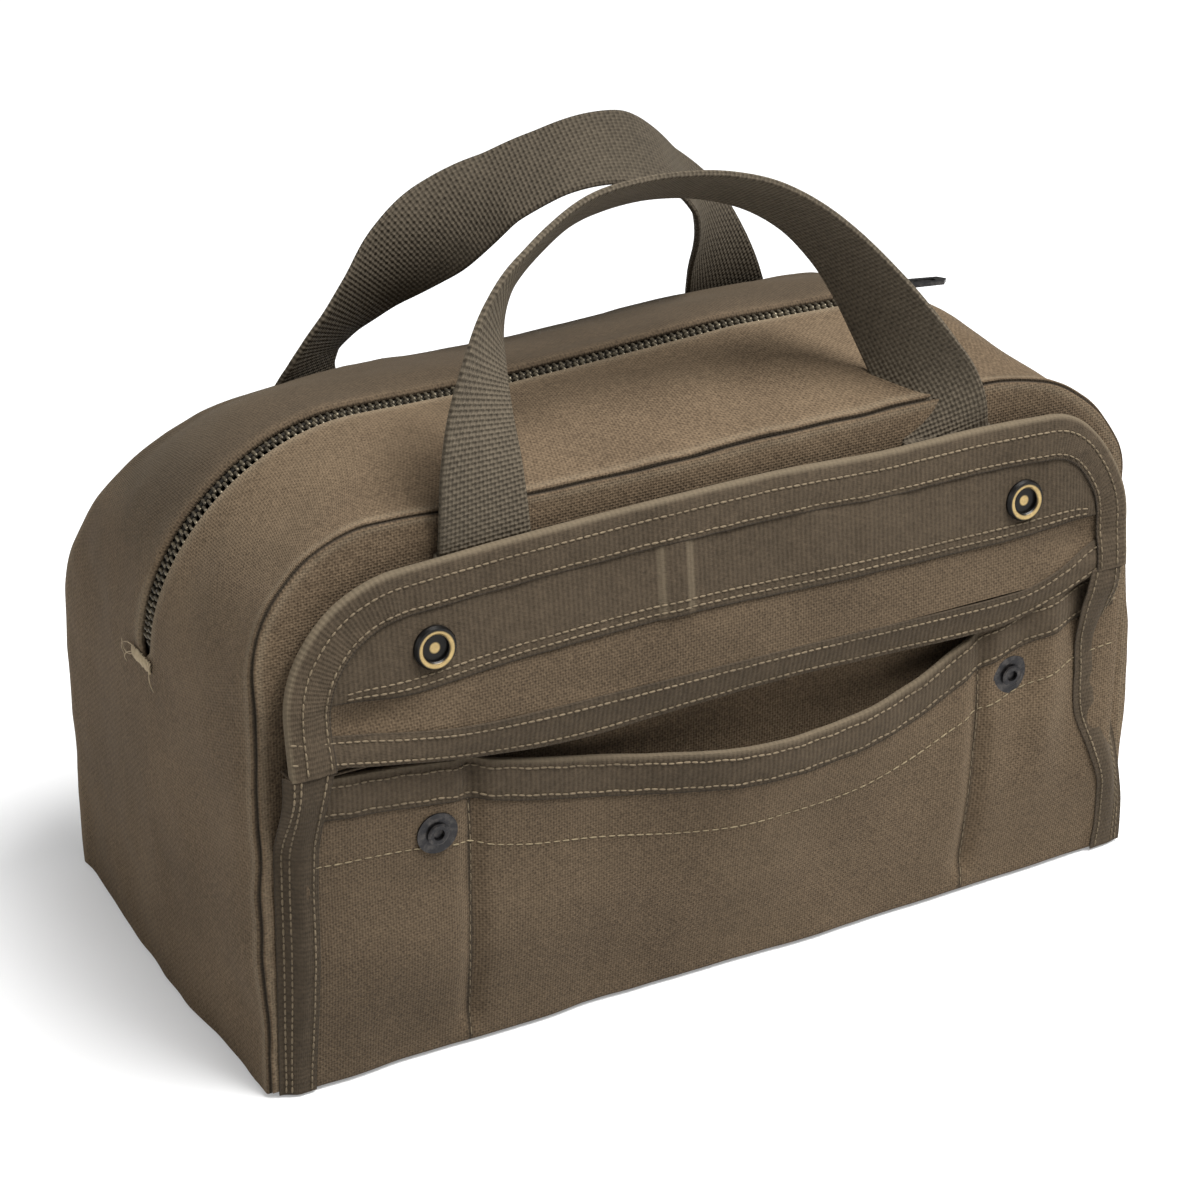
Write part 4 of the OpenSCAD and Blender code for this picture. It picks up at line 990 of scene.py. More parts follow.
for side in (-1, 1):
    name = sideName(side)
    body = name + "_side"
    xs = pocketX
    mouth = mouthAt(side, xs)
    steps = np.concatenate([np.linspace(0, 0.9, 46), np.linspace(0.915, 1, 8)])
    z = 1.3 + (mouth[:, None] - 1.3) * steps[None]
    x = np.repeat(xs[:, None], len(steps), axis=1)
    upright = np.stack([x, pocketOut(side, x, z), z], axis=-1)
    rows = upright[:, :1].copy()
    foot = np.concatenate([rows + [0, 2.6, -0.5], rows + [0, 1.6, -0.8], rows + [0, 0.6, -0.6]], axis=1)
    foot[..., 1] = np.minimum(foot[..., 1], -72.2)
    upright = np.concatenate([foot, upright], axis=1)
    x = upright[..., 0]
    beside = np.abs(x) - cad["divider"]
    # Painted shade: the pocket a little darker all over, the front one darker towards its left end, and dark
    # in the divider seams' grooves, with a faint painted highlight beside them.
    depthShade = -0.2 + 0.001 * x * (side < 0) - 0.7 * bell(beside, 0, 0.8) + 0.1 * bell(beside, 0, 3.5)
    placed = onSide(upright, side)
    n = gridNormals(placed)
    flip = n[5, 5, 1] * side < 0
    piece = Piece("pocket_cloth_" + name)
    clothSheet(piece, placed, upright[..., [0, 2]], 1.0, shade=depthShade, flip=flip)
    cloth = dress(piece.build(canvas), "pocket_" + name, body)
    giveWay(cloth, side)
    declare(cloth, *pockets["flat"], pockets[side]["held"], ["panel_cloth_" + name],
            area=pockets[side]["area"])

    # Bound mouth: outside, over the edge, and down inside.
    keep = np.abs(xs) < 131.5
    bx = xs[keep]
    edge = mouthAt(side, bx)
    down = np.array([12.0, 11.6, 10.4, 9.4, 8.0, 6.4, 4.8, 3.2, 1.8, 0.9])
    outs, shadesB = [], []
    for d in down:
        zz = edge - d
        y = pocketOut(side, bx, zz) - 0.55
        pts = np.stack([bx, y, zz], axis=-1)
        pucker = valueNoise(pts, 5.2, 51) * 0.22 * bell(d, 10, 2.2)
        pts[:, 1] -= pucker + valueNoise(pts, 5.2, 52) * 0.22 * 0.7 + 0.25 * math.exp(-((d - 6) / 3) ** 2)
        outs.append(pts)
        # A painted shadow line along the binding's lower edge.
        shadesB.append(-0.8 * math.exp(-((d - 12) / 0.35) ** 2))
    top = pocketOut(side, bx, edge)
    for angle in np.linspace(20, 160, 6):
        a = math.radians(angle)
        outs.append(np.stack([bx, top + 0.5 - 1.1 * math.cos(a), edge + 0.25 + 0.75 * math.sin(a)], axis=-1))
        # A painted highlight where the binding turns over the pocket's edge.
        shadesB.append(0.3)
    for d in (0.8, 3, 6, 9):
        zz = edge - d
        outs.append(np.stack([bx, pocketOut(side, bx, zz) + 1.55, zz], axis=-1))
        shadesB.append(0.0)
    band = np.stack(outs, axis=1)
    placedB = onSide(band, side)
    across = along(band[20])
    n = gridNormals(placedB)
    piece = Piece("pocket_binding_cloth_" + name)
    clothSheet(piece, placedB, gridUv(bx, across), 0.45, shade=np.broadcast_to(shadesB, band.shape[:2]),
               flip=n[20, 3, 1] * side < 0)
    bandPiece = dress(piece.build(tape), "pocket_binding_" + name, body)
    giveWay(bandPiece, side)
    declare(bandPiece, *pockets["bindingFlat"], "folded", ["pocket_cloth_" + name])
    outN = np.array([0, side, 0.1])
    key = "pocket_" + name
    for index in (2, 8):
        line = band[:, index] + [0, -0.18, 0]
        line[:, 2] += np.sin(bx / 1.7) * 0.15
        stitch(key, onSide(line, side), outN)
    paleLine = np.stack([bx, 0 * bx, edge - (26 if side < 0 else 21) + np.sin(bx / 9) * 0.5], axis=-1)
    paleLine[:, 1] = pocketOut(side, bx, paleLine[:, 2]) - 0.12
    stitch(key, onSide(paleLine, side), outN, "pale")
    for dx in (-cad["divider"], cad["divider"]):
        zz = np.linspace(4, mouthAt(side, dx) - 2, 60)
        lineX = dx + np.sin(zz / 8) * 0.4
        line = np.stack([lineX, pocketOut(side, lineX, zz) - 0.1, zz], axis=-1)
        stitch(key, onSide(line, side), outN, "long")

    # Tapes down both ends of the pocket, over its raw edge and onto the panel.
    piece = Piece("side_tapes_" + name)
    for end in (-1, 1):
        outer, inner = sideTape["edges"][(side, end)]
        zz = np.linspace(0.7, sideTape["top"][side], 130)
        smoothO, smoothI = throughPoints(outer, 80), throughPoints(inner, 80)
        xo, xi = np.interp(zz, smoothO[:, 0], smoothO[:, 1]), np.interp(zz, smoothI[:, 0], smoothI[:, 1])
        shares = np.array([0, 0.03, 0.1, 0.2, 0.3, 0.42, 0.55, 0.68, 0.8, 0.9, 0.97, 1.0])
        xx = xo[:, None] + (xi - xo)[:, None] * shares[None]
        zg = np.repeat(zz[:, None], len(shares), axis=1)
        climb = ease((shares - 0.05) / 0.5)[None]
        under = pocketOut(side, np.repeat(xi[:, None], len(shares), axis=1), np.minimum(zg, 95)) - 0.5
        y = -73.15 * (1 - climb) + under * climb
        if side < 0:
            rise = ease((zg - 76) / 25)
            y = y * (1 - rise) - (83.7 - 3.0 * ease(1 - shares / 0.14)[None]) * rise
        pts = np.stack([xx, y, zg], axis=-1)
        bend = valueNoise(pts + [500 * end, 0, 0], 17.0, 61) * 0.5 * climb + valueNoise(pts, 5.5, 62) * 0.2
        pts[..., 1] -= bend
        placedT = onSide(pts, side)
        n = gridNormals(placedT)
        uvT = np.stack([zg, np.abs(xx - xo[:, None])], axis=-1)
        # Painted shade along both edges of each tape, and each whole tape painted darker, the left one more.
        edgeShade = -0.35 * (bell(shares, 0, 0.02) + np.exp(-((1 - shares) / 0.02) ** 2))
        clothSheet(piece, placedT, uvT, sideTape["thickness"], shade=edgeShade[None] - sideTape["shade"][end],
                   flip=n[20, 3, 1] * side < 0)
        for share in (0.16, 0.3, 0.86):
            lx = xo + (xi - xo) * share
            ly = np.array([np.interp(share, shares, row) for row in pts[..., 1]]) - 0.16
            stitch("side_" + name, onSide(np.stack([lx, ly, zz], axis=-1)[2:-2], side),
                   np.array([end * 0.2, side, 0]), "close")
    obj = dress(piece.build(tape), "side_bindings_" + name, body)
    giveWay(obj, side)
    declare(obj, *sideTape["flat"], "stretched", ["pocket_cloth_" + name, "panel_cloth_" + name])

    # Tape along the fold of the flap.
    hx = np.linspace(*hingeTape["ends"][side], 240)
    if side < 0:
        low, high = throughPoints(hingeTape["low"], 200), throughPoints(hingeTape["high"], 200)
        lo, hi = np.interp(hx, low[:, 0], low[:, 1]), np.interp(hx, high[:, 0], high[:, 1])
        shares = np.array([0, 0.04, 0.12, 0.25, 0.4, 0.55, 0.7, 0.82, 0.92, 1.0])
        zz = lo[:, None] + (hi - lo)[:, None] * shares[None]
        x = np.repeat(hx[:, None], len(shares), axis=1)
        above = np.maximum(zz - cad["flapZ"], 0)
        stand = np.maximum(flapWave(side, x, above), -1.2)
        y = -83.1 + above * math.tan(lean) - stand - 0.55 * ease(above / 5)
        y = y + 1.5 * ease((104.5 - zz) / 9)
        pts = np.stack([x, y, zz], axis=-1)
        pts[..., 1] -= valueNoise(pts, 6.0, 71) * 0.16
    else:
        shares = np.linspace(0, 1, 10)
        path = throughPoints(hingeTape["back"], 10)
        x = np.repeat(hx[:, None], 10, axis=1)
        pts = np.stack([x, x * 0 + path[:, 0][None], x * 0 + path[:, 1][None]], axis=-1)
        pts[..., 1] -= valueNoise(pts, 6.0, 73) * 0.2
    if side < 0:
        placedH = onSide(pts, side)
    else:
        placedH = pts * [1, -1, 1] - np.array([0, 0.9, 0]) * ease((pts[..., 2:] - 104) / 9)
    n = gridNormals(placedH)
    across = along(pts[100])
    piece = Piece("hinge_tape_" + name)
    # Painted shade along both edges of the tape.
    edgeShade = -0.3 * (bell(shares, 0, 0.03) + np.exp(-((1 - shares) / 0.03) ** 2))
    clothSheet(piece, placedH, gridUv(hx, across), hingeTape["thickness"], shade=edgeShade[None],
               flip=n[20, 3, 1] * side < 0)
    obj = dress(piece.build(tape), "flap_hinge_tape_" + name, body)
    declare(obj, *hingeTape["flat"], "stretched", ["panel_cloth_" + name, "flap_cloth_" + name])
    for index in ((2, 7) if side < 0 else (1, 3)):
        line = placedH[:, index] + np.array([0, 0.16 * side, 0])
        stitch(("hinge_" if side < 0 else "side_") + name, line, np.array([0, side, 0.1]))
    if side < 0:
        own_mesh(obj)
        ledge = Piece("hinge_ledge_front")
        ly = np.linspace(-73.3, -81.4, 8)
        lz = 103.6 + 0.5 * np.sin(np.linspace(0, math.pi, 8))
        lg = np.stack(np.broadcast_arrays(hx[:, None], ly[None], lz[None]), axis=-1)
        n = gridNormals(lg)
        clothSheet(ledge, lg, lg[..., :2], hingeTape["thickness"], flip=n[5, 5, 2] < 0)
        ledgeObj = ledge.build(tape)
        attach(ledgeObj, body)
        declare(ledgeObj, *hingeTape["ledgeFlat"], "laid", ["hinge_tape_" + name])

    # Sewn handle ends.
    piece = Piece("handle_end_webbing_" + name)
    for end in (-1, 1):
        zz = np.linspace(handleEnd["low"], handleEnd["top"], 40)
        xx = np.linspace(-handleEnd["half"], handleEnd["half"], 24)
        footX = handleFeet[(side, end)]
        y = np.full((40, 24), -handleEnd["out"])
        pts = np.stack(np.broadcast_arrays(footX + xx[None], y, zz[:, None]), axis=-1).copy()
        pts[..., 1] -= valueNoise(pts, 12.0, 81) * 0.2
        placedE = onSide(pts, side)
        n = gridNormals(placedE)
        clothSheet(piece, placedE, gridUv(zz, xx + handleEnd["half"]), handleEnd["thickness"],
                   flip=n[5, 5, 1] * side < 0)
        for run in (handleEnd["box"], handleEnd["cross"]):
            line = np.vstack([np.linspace(run[i], run[i + 1], 12) for i in range(len(run) - 1)])
            at = np.stack([footX + line[:, 0], np.full(len(line), -handleEnd["out"] - 0.25), line[:, 1]],
                          axis=-1)
            stitch("side_" + name, onSide(at, side), np.array([0, side, 0.2]), "long")
    obj = dress(piece.build(webbing), "handle_ends_" + name, body)
    declare(obj, *handleEnd["flat"], "stretched", ["panel_cloth_" + name])
print("pockets and tapes made")

# Flaps.

for side in (-1, 1):
    name = sideName(side)
    body = name + "_flap"
    out = flapAxes[side][2]
    ring = flapOutline(side, 0.0)
    fold = np.stack([np.linspace(ring[-1, 0], ring[0, 0], 120)[1:-1], np.full(118, 0.9)], axis=1)
    loop = np.vstack([ring, fold, ring[:1]])
    rows = np.linspace(0, 1, 34) ** 1.2
    centreLine = np.stack([np.clip(loop[:, 0], -112, 112), np.full(len(loop), 24.0)], axis=1)
    flat = loop[:, None] * (1 - rows)[None, :, None] + centreLine[:, None] * rows[None, :, None]
    wave = flapWave(side, flat[..., 0], flat[..., 1])
    placed = onFlap(side, flat[..., 0], flat[..., 1], wave + 0.5)
    n = gridNormals(placed)
    n[0] = n[-1] = unitRows(n[0] + n[-1])
    n[:, -1] = out if np.mean(n @ out) > 0 else -out
    piece = Piece("flap_cloth_" + name)
    flip = np.mean(n @ out) < 0
    # The flap's cloth is painted a little darker all over, as painted shade.
    clothSheet(piece, placed, flat, flapSizes["cloth"], shade=-0.25, flip=flip, normals=n, rimmed=False)
    obj = dress(piece.build(canvas), "flap_" + name, body)
    held = "hung" if side > 0 else "laid"
    declare(obj, *flapSizes["flat"], held, ["hinge_tape_" + name], area=flapSizes["area"])

    # Facing tape that carries the sockets.
    fx = np.linspace(-126.5, 126.5, 230)
    inner = flapOutline(side, flapSizes["binding"])
    topLine = np.interp(fx, inner[16:-16, 0], inner[16:-16, 1]) + 0.8
    if side < 0:
        keys = throughPoints(flapSizes["facingLow"], 100)
        lowLine = np.interp(fx, keys[:, 0], keys[:, 1])
    else:
        lowLine = 17.5 + 0.5 * np.sin(fx / 19)
    lowLine = np.minimum(lowLine, topLine - 0.6)
    shares = np.array([0, 0.03, 0.08, 0.16, 0.3, 0.5, 0.7, 0.85, 0.95, 1.0])
    hh = lowLine[:, None] + (topLine - lowLine)[:, None] * shares[None]
    xx = np.repeat(fx[:, None], len(shares), axis=1)
    snaps = spot(np.abs(xx), hh, (cad["snapX"], cad["snapDrop"]), (9, 9))
    flatPoints = np.stack([xx, hh, 7.0 * side + 0 * xx], axis=-1)
    ripple = (valueNoise(flatPoints * [1, 0.3, 1], 4.6, 93) * 0.3
              + valueNoise(flatPoints * [1, 0.4, 1], 12.0, 94) * 0.35) * (1 - snaps)
    overlap = 0.5 * np.exp(-(((xx + 21) / 4.5) ** 2) ** 3) * (side < 0)
    standOff = flapWave(side, xx, hh) + 1.15 + ripple * 0.7 + overlap
    facing = onFlap(side, xx, hh, standOff)
    n = gridNormals(facing)
    flip = np.mean(n @ out) < 0
    # Painted highlights along the edges of the overlap, and a painted shadow line along the facing's lower
    # edge.
    crease = 0.5 * np.exp(-((np.abs(xx + 21) - 4.4) / 0.7) ** 2) * (side < 0)
    shadeF = -0.8 * bell(shares, 0, 0.025)[None] + 0 * xx + crease
    piece = Piece("flap_facing_cloth_" + name)
    clothSheet(piece, facing, np.stack([xx, hh], axis=-1), 0.5, shade=shadeF, flip=flip)
    obj = dress(piece.build(tape), "flap_facing_" + name, body)
    declare(obj, *flapSizes["facingFlat"], "stretched", ["flap_cloth_" + name], area=flapSizes["facingArea"])
    key = "flap_" + name
    for column, offset in ((2, 0.0), (3, 0.6)):
        lineX, lineH = fx[6:-6], hh[6:-6, column]
        stitch(key, onFlap(side, lineX, lineH + offset, standOff[6:-6, column] + 0.15), out)
        stitch(key, onFlap(side, lineX, lineH + offset, flapWave(side, lineX, lineH) - 0.62), -out)

    # Binding folded over the flap's edge.
    tangent = unitRows(np.gradient(ring, axis=0))
    inwardXH = np.stack([tangent[:, 1], -tangent[:, 0]], axis=1)
    grown = ring - inwardXH * 0.6
    lengths = along(ring)
    rows, shadeRows = [], []
    widths = [12.6, 12.2, 11.2, 9.8, 8, 6, 4.2, 2.4, 1.2]
    for w in widths:
        at = grown + inwardXH * w
        flatPoints = np.stack([at[:, 0], at[:, 1], 0 * at[:, 0] + 3 * side], axis=-1)
        pucker = valueNoise(flatPoints, 4.4, 95) * 0.3 * (0.4 + math.exp(-((w - 10.5) / 3) ** 2))
        pucker = pucker + valueNoise(flatPoints, 10, 96) * 0.25
        lift = 0.3 * math.exp(-((w - 6) / 3) ** 2)
        rows.append(onFlap(side, at[:, 0], at[:, 1],
                           flapWave(side, at[:, 0], at[:, 1]) + 1.75 + pucker + lift))
        # A painted shadow line along the binding's inner edge.
        shadeRows.append(-0.8 * math.exp(-((w - 12.6) / 0.3) ** 2))
    for angle in np.linspace(25, 155, 6):
        a = math.radians(angle)
        at = grown - inwardXH * (0.9 * math.sin(a)) + inwardXH * 0.5
        rows.append(onFlap(side, at[:, 0], at[:, 1],
                           flapWave(side, grown[:, 0], grown[:, 1]) + 1.55 * math.cos(a)))
        # A painted highlight where the binding turns over the flap's edge.
        shadeRows.append(0.35)
    for w in reversed(widths):
        at = grown + inwardXH * w
        flatPoints = np.stack([at[:, 0], at[:, 1], 0 * at[:, 0] + 90], axis=-1)
        rows.append(onFlap(side, at[:, 0], at[:, 1],
                           flapWave(side, at[:, 0], at[:, 1])
                           - 1.05 - valueNoise(flatPoints, 4.4, 97) * 0.25))
        # The same painted shadow line on the other face.
        shadeRows.append(-0.8 * math.exp(-((w - 12.6) / 0.3) ** 2))
    band = np.stack(rows, axis=1)
    across = along(band[100])
    n = gridNormals(band)
    flip = np.mean(n[:, :6] @ out) < 0
    piece = Piece("flap_binding_cloth_" + name)
    clothSheet(piece, band, gridUv(lengths, across), 0.5,
               shade=np.broadcast_to(shadeRows, band.shape[:2]), flip=flip)
    obj = dress(piece.build(tape), "flap_binding_" + name, body)
    declare(obj, *flapSizes["bindingFlat"], "folded", ["flap_cloth_" + name])
    for index in (2, 6):
        stitch(key, band[2:-2, index] + out * 0.15, out)
        stitch(key, band[2:-2, -1 - index] - out * 0.15, -out)
    socketPlace = onFlap(side, cad["snapX"], cad["snapDrop"], 0.0)
    finishNode("snap_sockets_" + name,
               socketMaterial("snapSocket_" + name, cad["snapX"], float(socketPlace[2]), *flapSizes["ring"]))
print("flaps made")

# Handles.

handles = {
    -1: {"spine": [(-76.6, -74.1, 154.6), (-76.8, -74.1, 166), (-76.6, -73, 178), (-75, -70, 191),
                   (-71.3, -66.2, 203), (-65.3, -60.5, 213.5), (-56, -54, 221.8), (-44, -48.3, 227.8),
                   (-31, -44, 232), (-17, -41.2, 233.4), (-2, -40, 233.0), (12.5, -40.6, 230.8),
                   (26, -43, 226.4), (37.5, -46.6, 219.2), (46.4, -51, 210), (53.4, -56, 199.6),
                   (59.2, -61.5, 188.4), (64.6, -67, 176.6), (69.2, -72, 164.8), (71.4, -74.1, 154.6)],
         "wide": [(1, 0, 0), (0.99, 0.12, 0), (0.96, 0.24, -0.1), (0.86, 0.4, -0.28), (0.71, 0.56, -0.4),
                  (0.55, 0.69, -0.45), (0.4, 0.79, -0.46), (0.4, 0.79, -0.46), (0.4, 0.79, -0.47),
                  (0.4, 0.78, -0.48), (0.36, 0.78, -0.5), (0.3, 0.78, -0.54), (0.24, 0.78, -0.58),
                  (0.17, 0.77, -0.6), (0.04, 0.78, -0.63), (-0.24, 0.85, -0.46), (-0.52, 0.82, -0.16),
                  (-0.72, 0.69, -0.06), (-0.94, 0.3, 0), (-1, 0, 0)]},
    1: {"spine": [(-74, 53.4, 149.4), (-74, 51.6, 152.6), (-73.4, 49.6, 157.2), (-72, 48, 161.8),
                  (-69.6, 46.2, 167), (-63.6, 43.6, 175), (-54, 41.6, 184.6), (-43.5, 39, 194.4),
                  (-31, 34.6, 204.4), (-18, 29.6, 213.2), (-4, 24.6, 220), (9, 21.6, 222.8),
                  (21, 20.2, 221.6), (31.6, 21, 216.2), (41, 24, 206.6), (49.5, 29, 194.4), (57.4, 36, 180),
                  (66.2, 44.6, 164), (74, 53.4, 149.4)],
        "wide": [(1, 0, 0), (0.93, 0.33, -0.15), (0.8, 0.52, -0.3), (0.68, 0.6, -0.4), (0.55, 0.67, -0.5),
                 (0.5, 0.62, -0.6), (0.55, 0.4, -0.73), (0.62, -0.1, -0.76), (0.52, -0.72, -0.45),
                 (0.22, -0.94, -0.24), (0.06, -0.95, -0.3), (-0.04, -0.89, -0.45), (-0.13, -0.82, -0.56),
                 (-0.2, -0.88, -0.42), (-0.4, -0.9, -0.14), (-0.68, -0.73, 0), (-0.86, -0.5, 0),
                 (-0.97, -0.22, 0), (-1, 0, 0)]},
}
edgeAngles = np.linspace(-math.pi / 2, math.pi / 2, 5)
half, thick = 13.1, 0.95  # half the webbing's width and thickness, before its rounded edges
webbingProfile = [(x, -thick) for x in np.linspace(-half, half, 19)]
webbingProfile += [(half + thick * math.cos(a), thick * math.sin(a)) for a in edgeAngles[1:-1]]
webbingProfile += [(x, thick) for x in np.linspace(half, -half, 19)]
webbingProfile += [(-half - thick * math.cos(a), thick * math.sin(a)) for a in edgeAngles[::-1][1:-1]]
for side in (-1, 1):
    name = sideName(side)
    made = handles[side]
    spineKeys, wideKeys = np.array(made["spine"], float), np.array(made["wide"], float)
    spine = throughPoints(spineKeys, 200)
    keyRun = along(spineKeys)
    at = along(spine) / along(spine)[-1] * keyRun[-1]
    wide = np.stack([np.interp(at, keyRun, wideKeys[:, j]) for j in range(3)], axis=1)
    kernel = np.hanning(9) / np.hanning(9).sum()
    padded = np.vstack([np.repeat(wide[:1], 4, axis=0), wide, np.repeat(wide[-1:], 4, axis=0)])
    wide = np.stack([np.convolve(padded[:, j], kernel, "valid") for j in range(3)], axis=1)
    tangent = unitRows(np.gradient(spine, axis=0))
    wide = unitRows(wide - tangent * np.sum(wide * tangent, axis=1, keepdims=True))
    wide[0], wide[-1] = (1, 0, 0), (-1, 0, 0)
    face = np.cross(tangent, wide)
    piece = Piece("handle_webbing_" + name)
    # The handles are painted a little darker, the back one more, as painted shade.
    sweep(piece, spine, wide, face, webbingProfile, shade=-0.05 if side < 0 else -0.3)
    obj = dress(piece.build(webbing), "handle_" + name, name + "_handle")
    declare(obj, 28, float(along(spine)[-1]), "stretched", ["handle_end_webbing_" + name])
print("handles made")

# Zip: tapes under the cloth edges, two rows of teeth, tacked ends.
zipSizes = {
    "pitch": 2.15, "drop": 2.5, "from": 112.5, "patch": (17.0, 11.0), "tackHalf": 6.4, "tackHeight": 3.4,
    "width": 10, "lengths": {"left": 102, "mid": 91, "right": 195},
}
toothUnit = unitMesh("zipTooth",
                     [(-0.3, 0.3, 0.45), (0.1, 0.55, 0.8), (0.9, 0.44, 0.72), (1.6, 0.52, 0.85),
                      (2.35, 0.52, 0.7), (2.6, 0.3, 0.4)], 8)
for v in toothUnit.data.vertices:
    v.co = Vector((v.co.y, v.co.x, v.co.z))
inZip = zipLine[:, 2] > zipSizes["from"]
startRun, endRun = shellLengths[inZip][0], shellLengths[inZip][-1]
teethAt = np.arange(startRun, endRun, zipSizes["pitch"])
for side in (-1, 1):
    name = sideName(side)
    lateral = np.array([1.1, 1.7, 2.6, 4.0, 6.0, 8.6])
    lift = np.array([0.25, 0.1, 0, 0, 0, 0])
    below = zipOutward[:, None] * (zipSizes["drop"] - lift)[None, :, None]
    tapeGrid = zipLine[:, None] + np.array([0, 1.0, 0]) * side * lateral[None, :, None] - below
    tapeGrid = tapeGrid - zipOutward[:, None] * (valueNoise(tapeGrid, 14.0, 101) * 0.25)[..., None]
    normals = gridNormals(tapeGrid)
    uvZ = gridUv(shellLengths, lateral)
    flip = np.mean(np.sum(normals * zipOutward[:, None], axis=-1)) < 0
    first, last = np.flatnonzero(inZip)[0] - 2, np.flatnonzero(inZip)[-1] + 2
    for part, (i0, i1) in spans.items():
        cut = slice(max(i0, first), min(i1, last) + 1)
        piece = Piece("zip_tape_%s_%s" % (part, name))
        clothSheet(piece, tapeGrid[cut], uvZ[cut], 0.6, flip=flip, normals=normals[cut])
        obj = piece.build(zipCloth)
        bendAtZip(part, side, obj)
        declare(obj, zipSizes["lengths"][part], zipSizes["width"], "stretched",
                ["shell_%s_%s" % (part, name)])
        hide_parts("zip_tape_" + name)
        runs = teethAt + (zipSizes["pitch"] / 2 if side > 0 else 0)
        edges = [shellLengths[i0] if i0 else -1, shellLengths[i1] if i1 < total - 1 else 1e9]
        runs = runs[(runs >= edges[0]) & (runs < edges[1]) & (runs <= endRun)]
        spots = np.stack([np.interp(runs, shellLengths, zipLine[:, j]) for j in range(3)], axis=1)
        facing = unitRows(np.stack([np.interp(runs, shellLengths, zipOutward[:, j]) for j in range(3)],
                                   axis=1))
        spots = spots - facing * (zipSizes["drop"] - 0.95) + np.array([0, 0.12 * side, 0])
        if side < 0:
            spots, facing = spots[::-1], facing[::-1]
        teeth = repeatAlong("zip_teeth_%s_%s" % (part, name), [(spots, facing)], toothUnit,
                            zipSizes["pitch"] * 0.995, toothMetal, 0.05, 7)
        bendAtZip(part, side, teeth)
        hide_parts("zip_teeth_" + name)

endIndex = {-1: int(np.argmin(np.abs(zipLine[:total // 2, 2] - 106.5))),
            1: total // 2 + int(np.argmin(np.abs(zipLine[total // 2:, 2] - 106.5)))}
patchPiece = Piece("zip_end_patch_cloth")
tackLines = []
for end in (-1, 1):
    at = zipLine[endIndex[end]]
    outwardX = np.array([end, 0, 0.0])
    w, h = zipSizes["patch"]
    yy, zz = np.meshgrid(np.linspace(-w / 2, w / 2, 20), np.linspace(-h / 2, h / 2, 14), indexing="ij")
    pts = np.stack([np.full_like(yy, at[0] - end * 3.2), at[1] + yy, at[2] - 3 + zz], axis=-1)
    pts[..., 0] += valueNoise(pts, 7.0, 103) * 0.3
    n = gridNormals(pts)
    clothSheet(patchPiece, pts, np.stack([yy, zz], axis=-1), 0.8, flip=n[5, 5, 0] * end < 0)
    rng = np.random.default_rng(17 + end)
    for k in range(26):
        y0 = -zipSizes["tackHalf"] + k * zipSizes["tackHalf"] / 12.5
        zig = zipSizes["tackHeight"] / 2 * (1 if k % 2 else -1)
        a = at + [end * (0.35 + rng.uniform(0, 0.25)), y0, -zig + rng.uniform(-0.25, 0.25)]
        b = at + [end * (0.35 + rng.uniform(0, 0.25)), y0 + zipSizes["tackHalf"] / 12.5,
                  zig + rng.uniform(-0.25, 0.25)]
        tackLines.append((a, (a + b) / 2 + outwardX * 0.35, b))
patchObj = dress(patchPiece.build(tape), "zip_end_patches", "bag_base")
declare(patchObj, 17, 22, "stretched", ["shell_left_front"])


def roundSweep(piece, keys, radius, count=24, sides=6):
    # A round thread through the keys.
    path = throughPoints(keys, count)
    t = unitRows(np.gradient(path, axis=0))
    helper = np.array([0.3, 0.2, 0.93])
    side = unitRows(np.cross(t, helper))
    up = np.cross(side, t)
    a = np.linspace(0, 2 * math.pi, sides, endpoint=False)
    sweep(piece, path, side, up, np.stack([np.cos(a) * radius, np.sin(a) * radius], axis=1))


tackPiece = Piece("bar_tack_threads")
for a, m, b in tackLines:
    roundSweep(tackPiece, [a, m, b], 0.3, 5, 5)
at = zipLine[endIndex[-1]]
rng = np.random.default_rng(5)
looseEnds = [
    [(0, 6, 1), (-1.5, 8, 2.2), (-2.2, 10.5, 1.0), (-1.6, 12.5, -1.6), (-0.8, 13, -4)],
    [(0, 5.5, 0), (-1.8, 7.4, -0.6), (-2.0, 9.6, -2.8), (-0.9, 11, -5.4)],
    [(0, -6, 0.4), (-1.5, -7.6, -0.8), (-1.7, -8.8, -3.6), (-0.7, -8.6, -6.4)],
    [(0, 6.2, -1), (-1.2, 8.6, -1.8), (-1.5, 11.2, -1.2), (-1.1, 13.6, 0.8)],
]
for keys in looseEnds:
    roundSweep(tackPiece, [at + np.array(k) for k in keys], 0.17, 22, 5)
dress(tackPiece.build(looseThread), "zip_bar_tacks", "bag_base")
print("zip made")

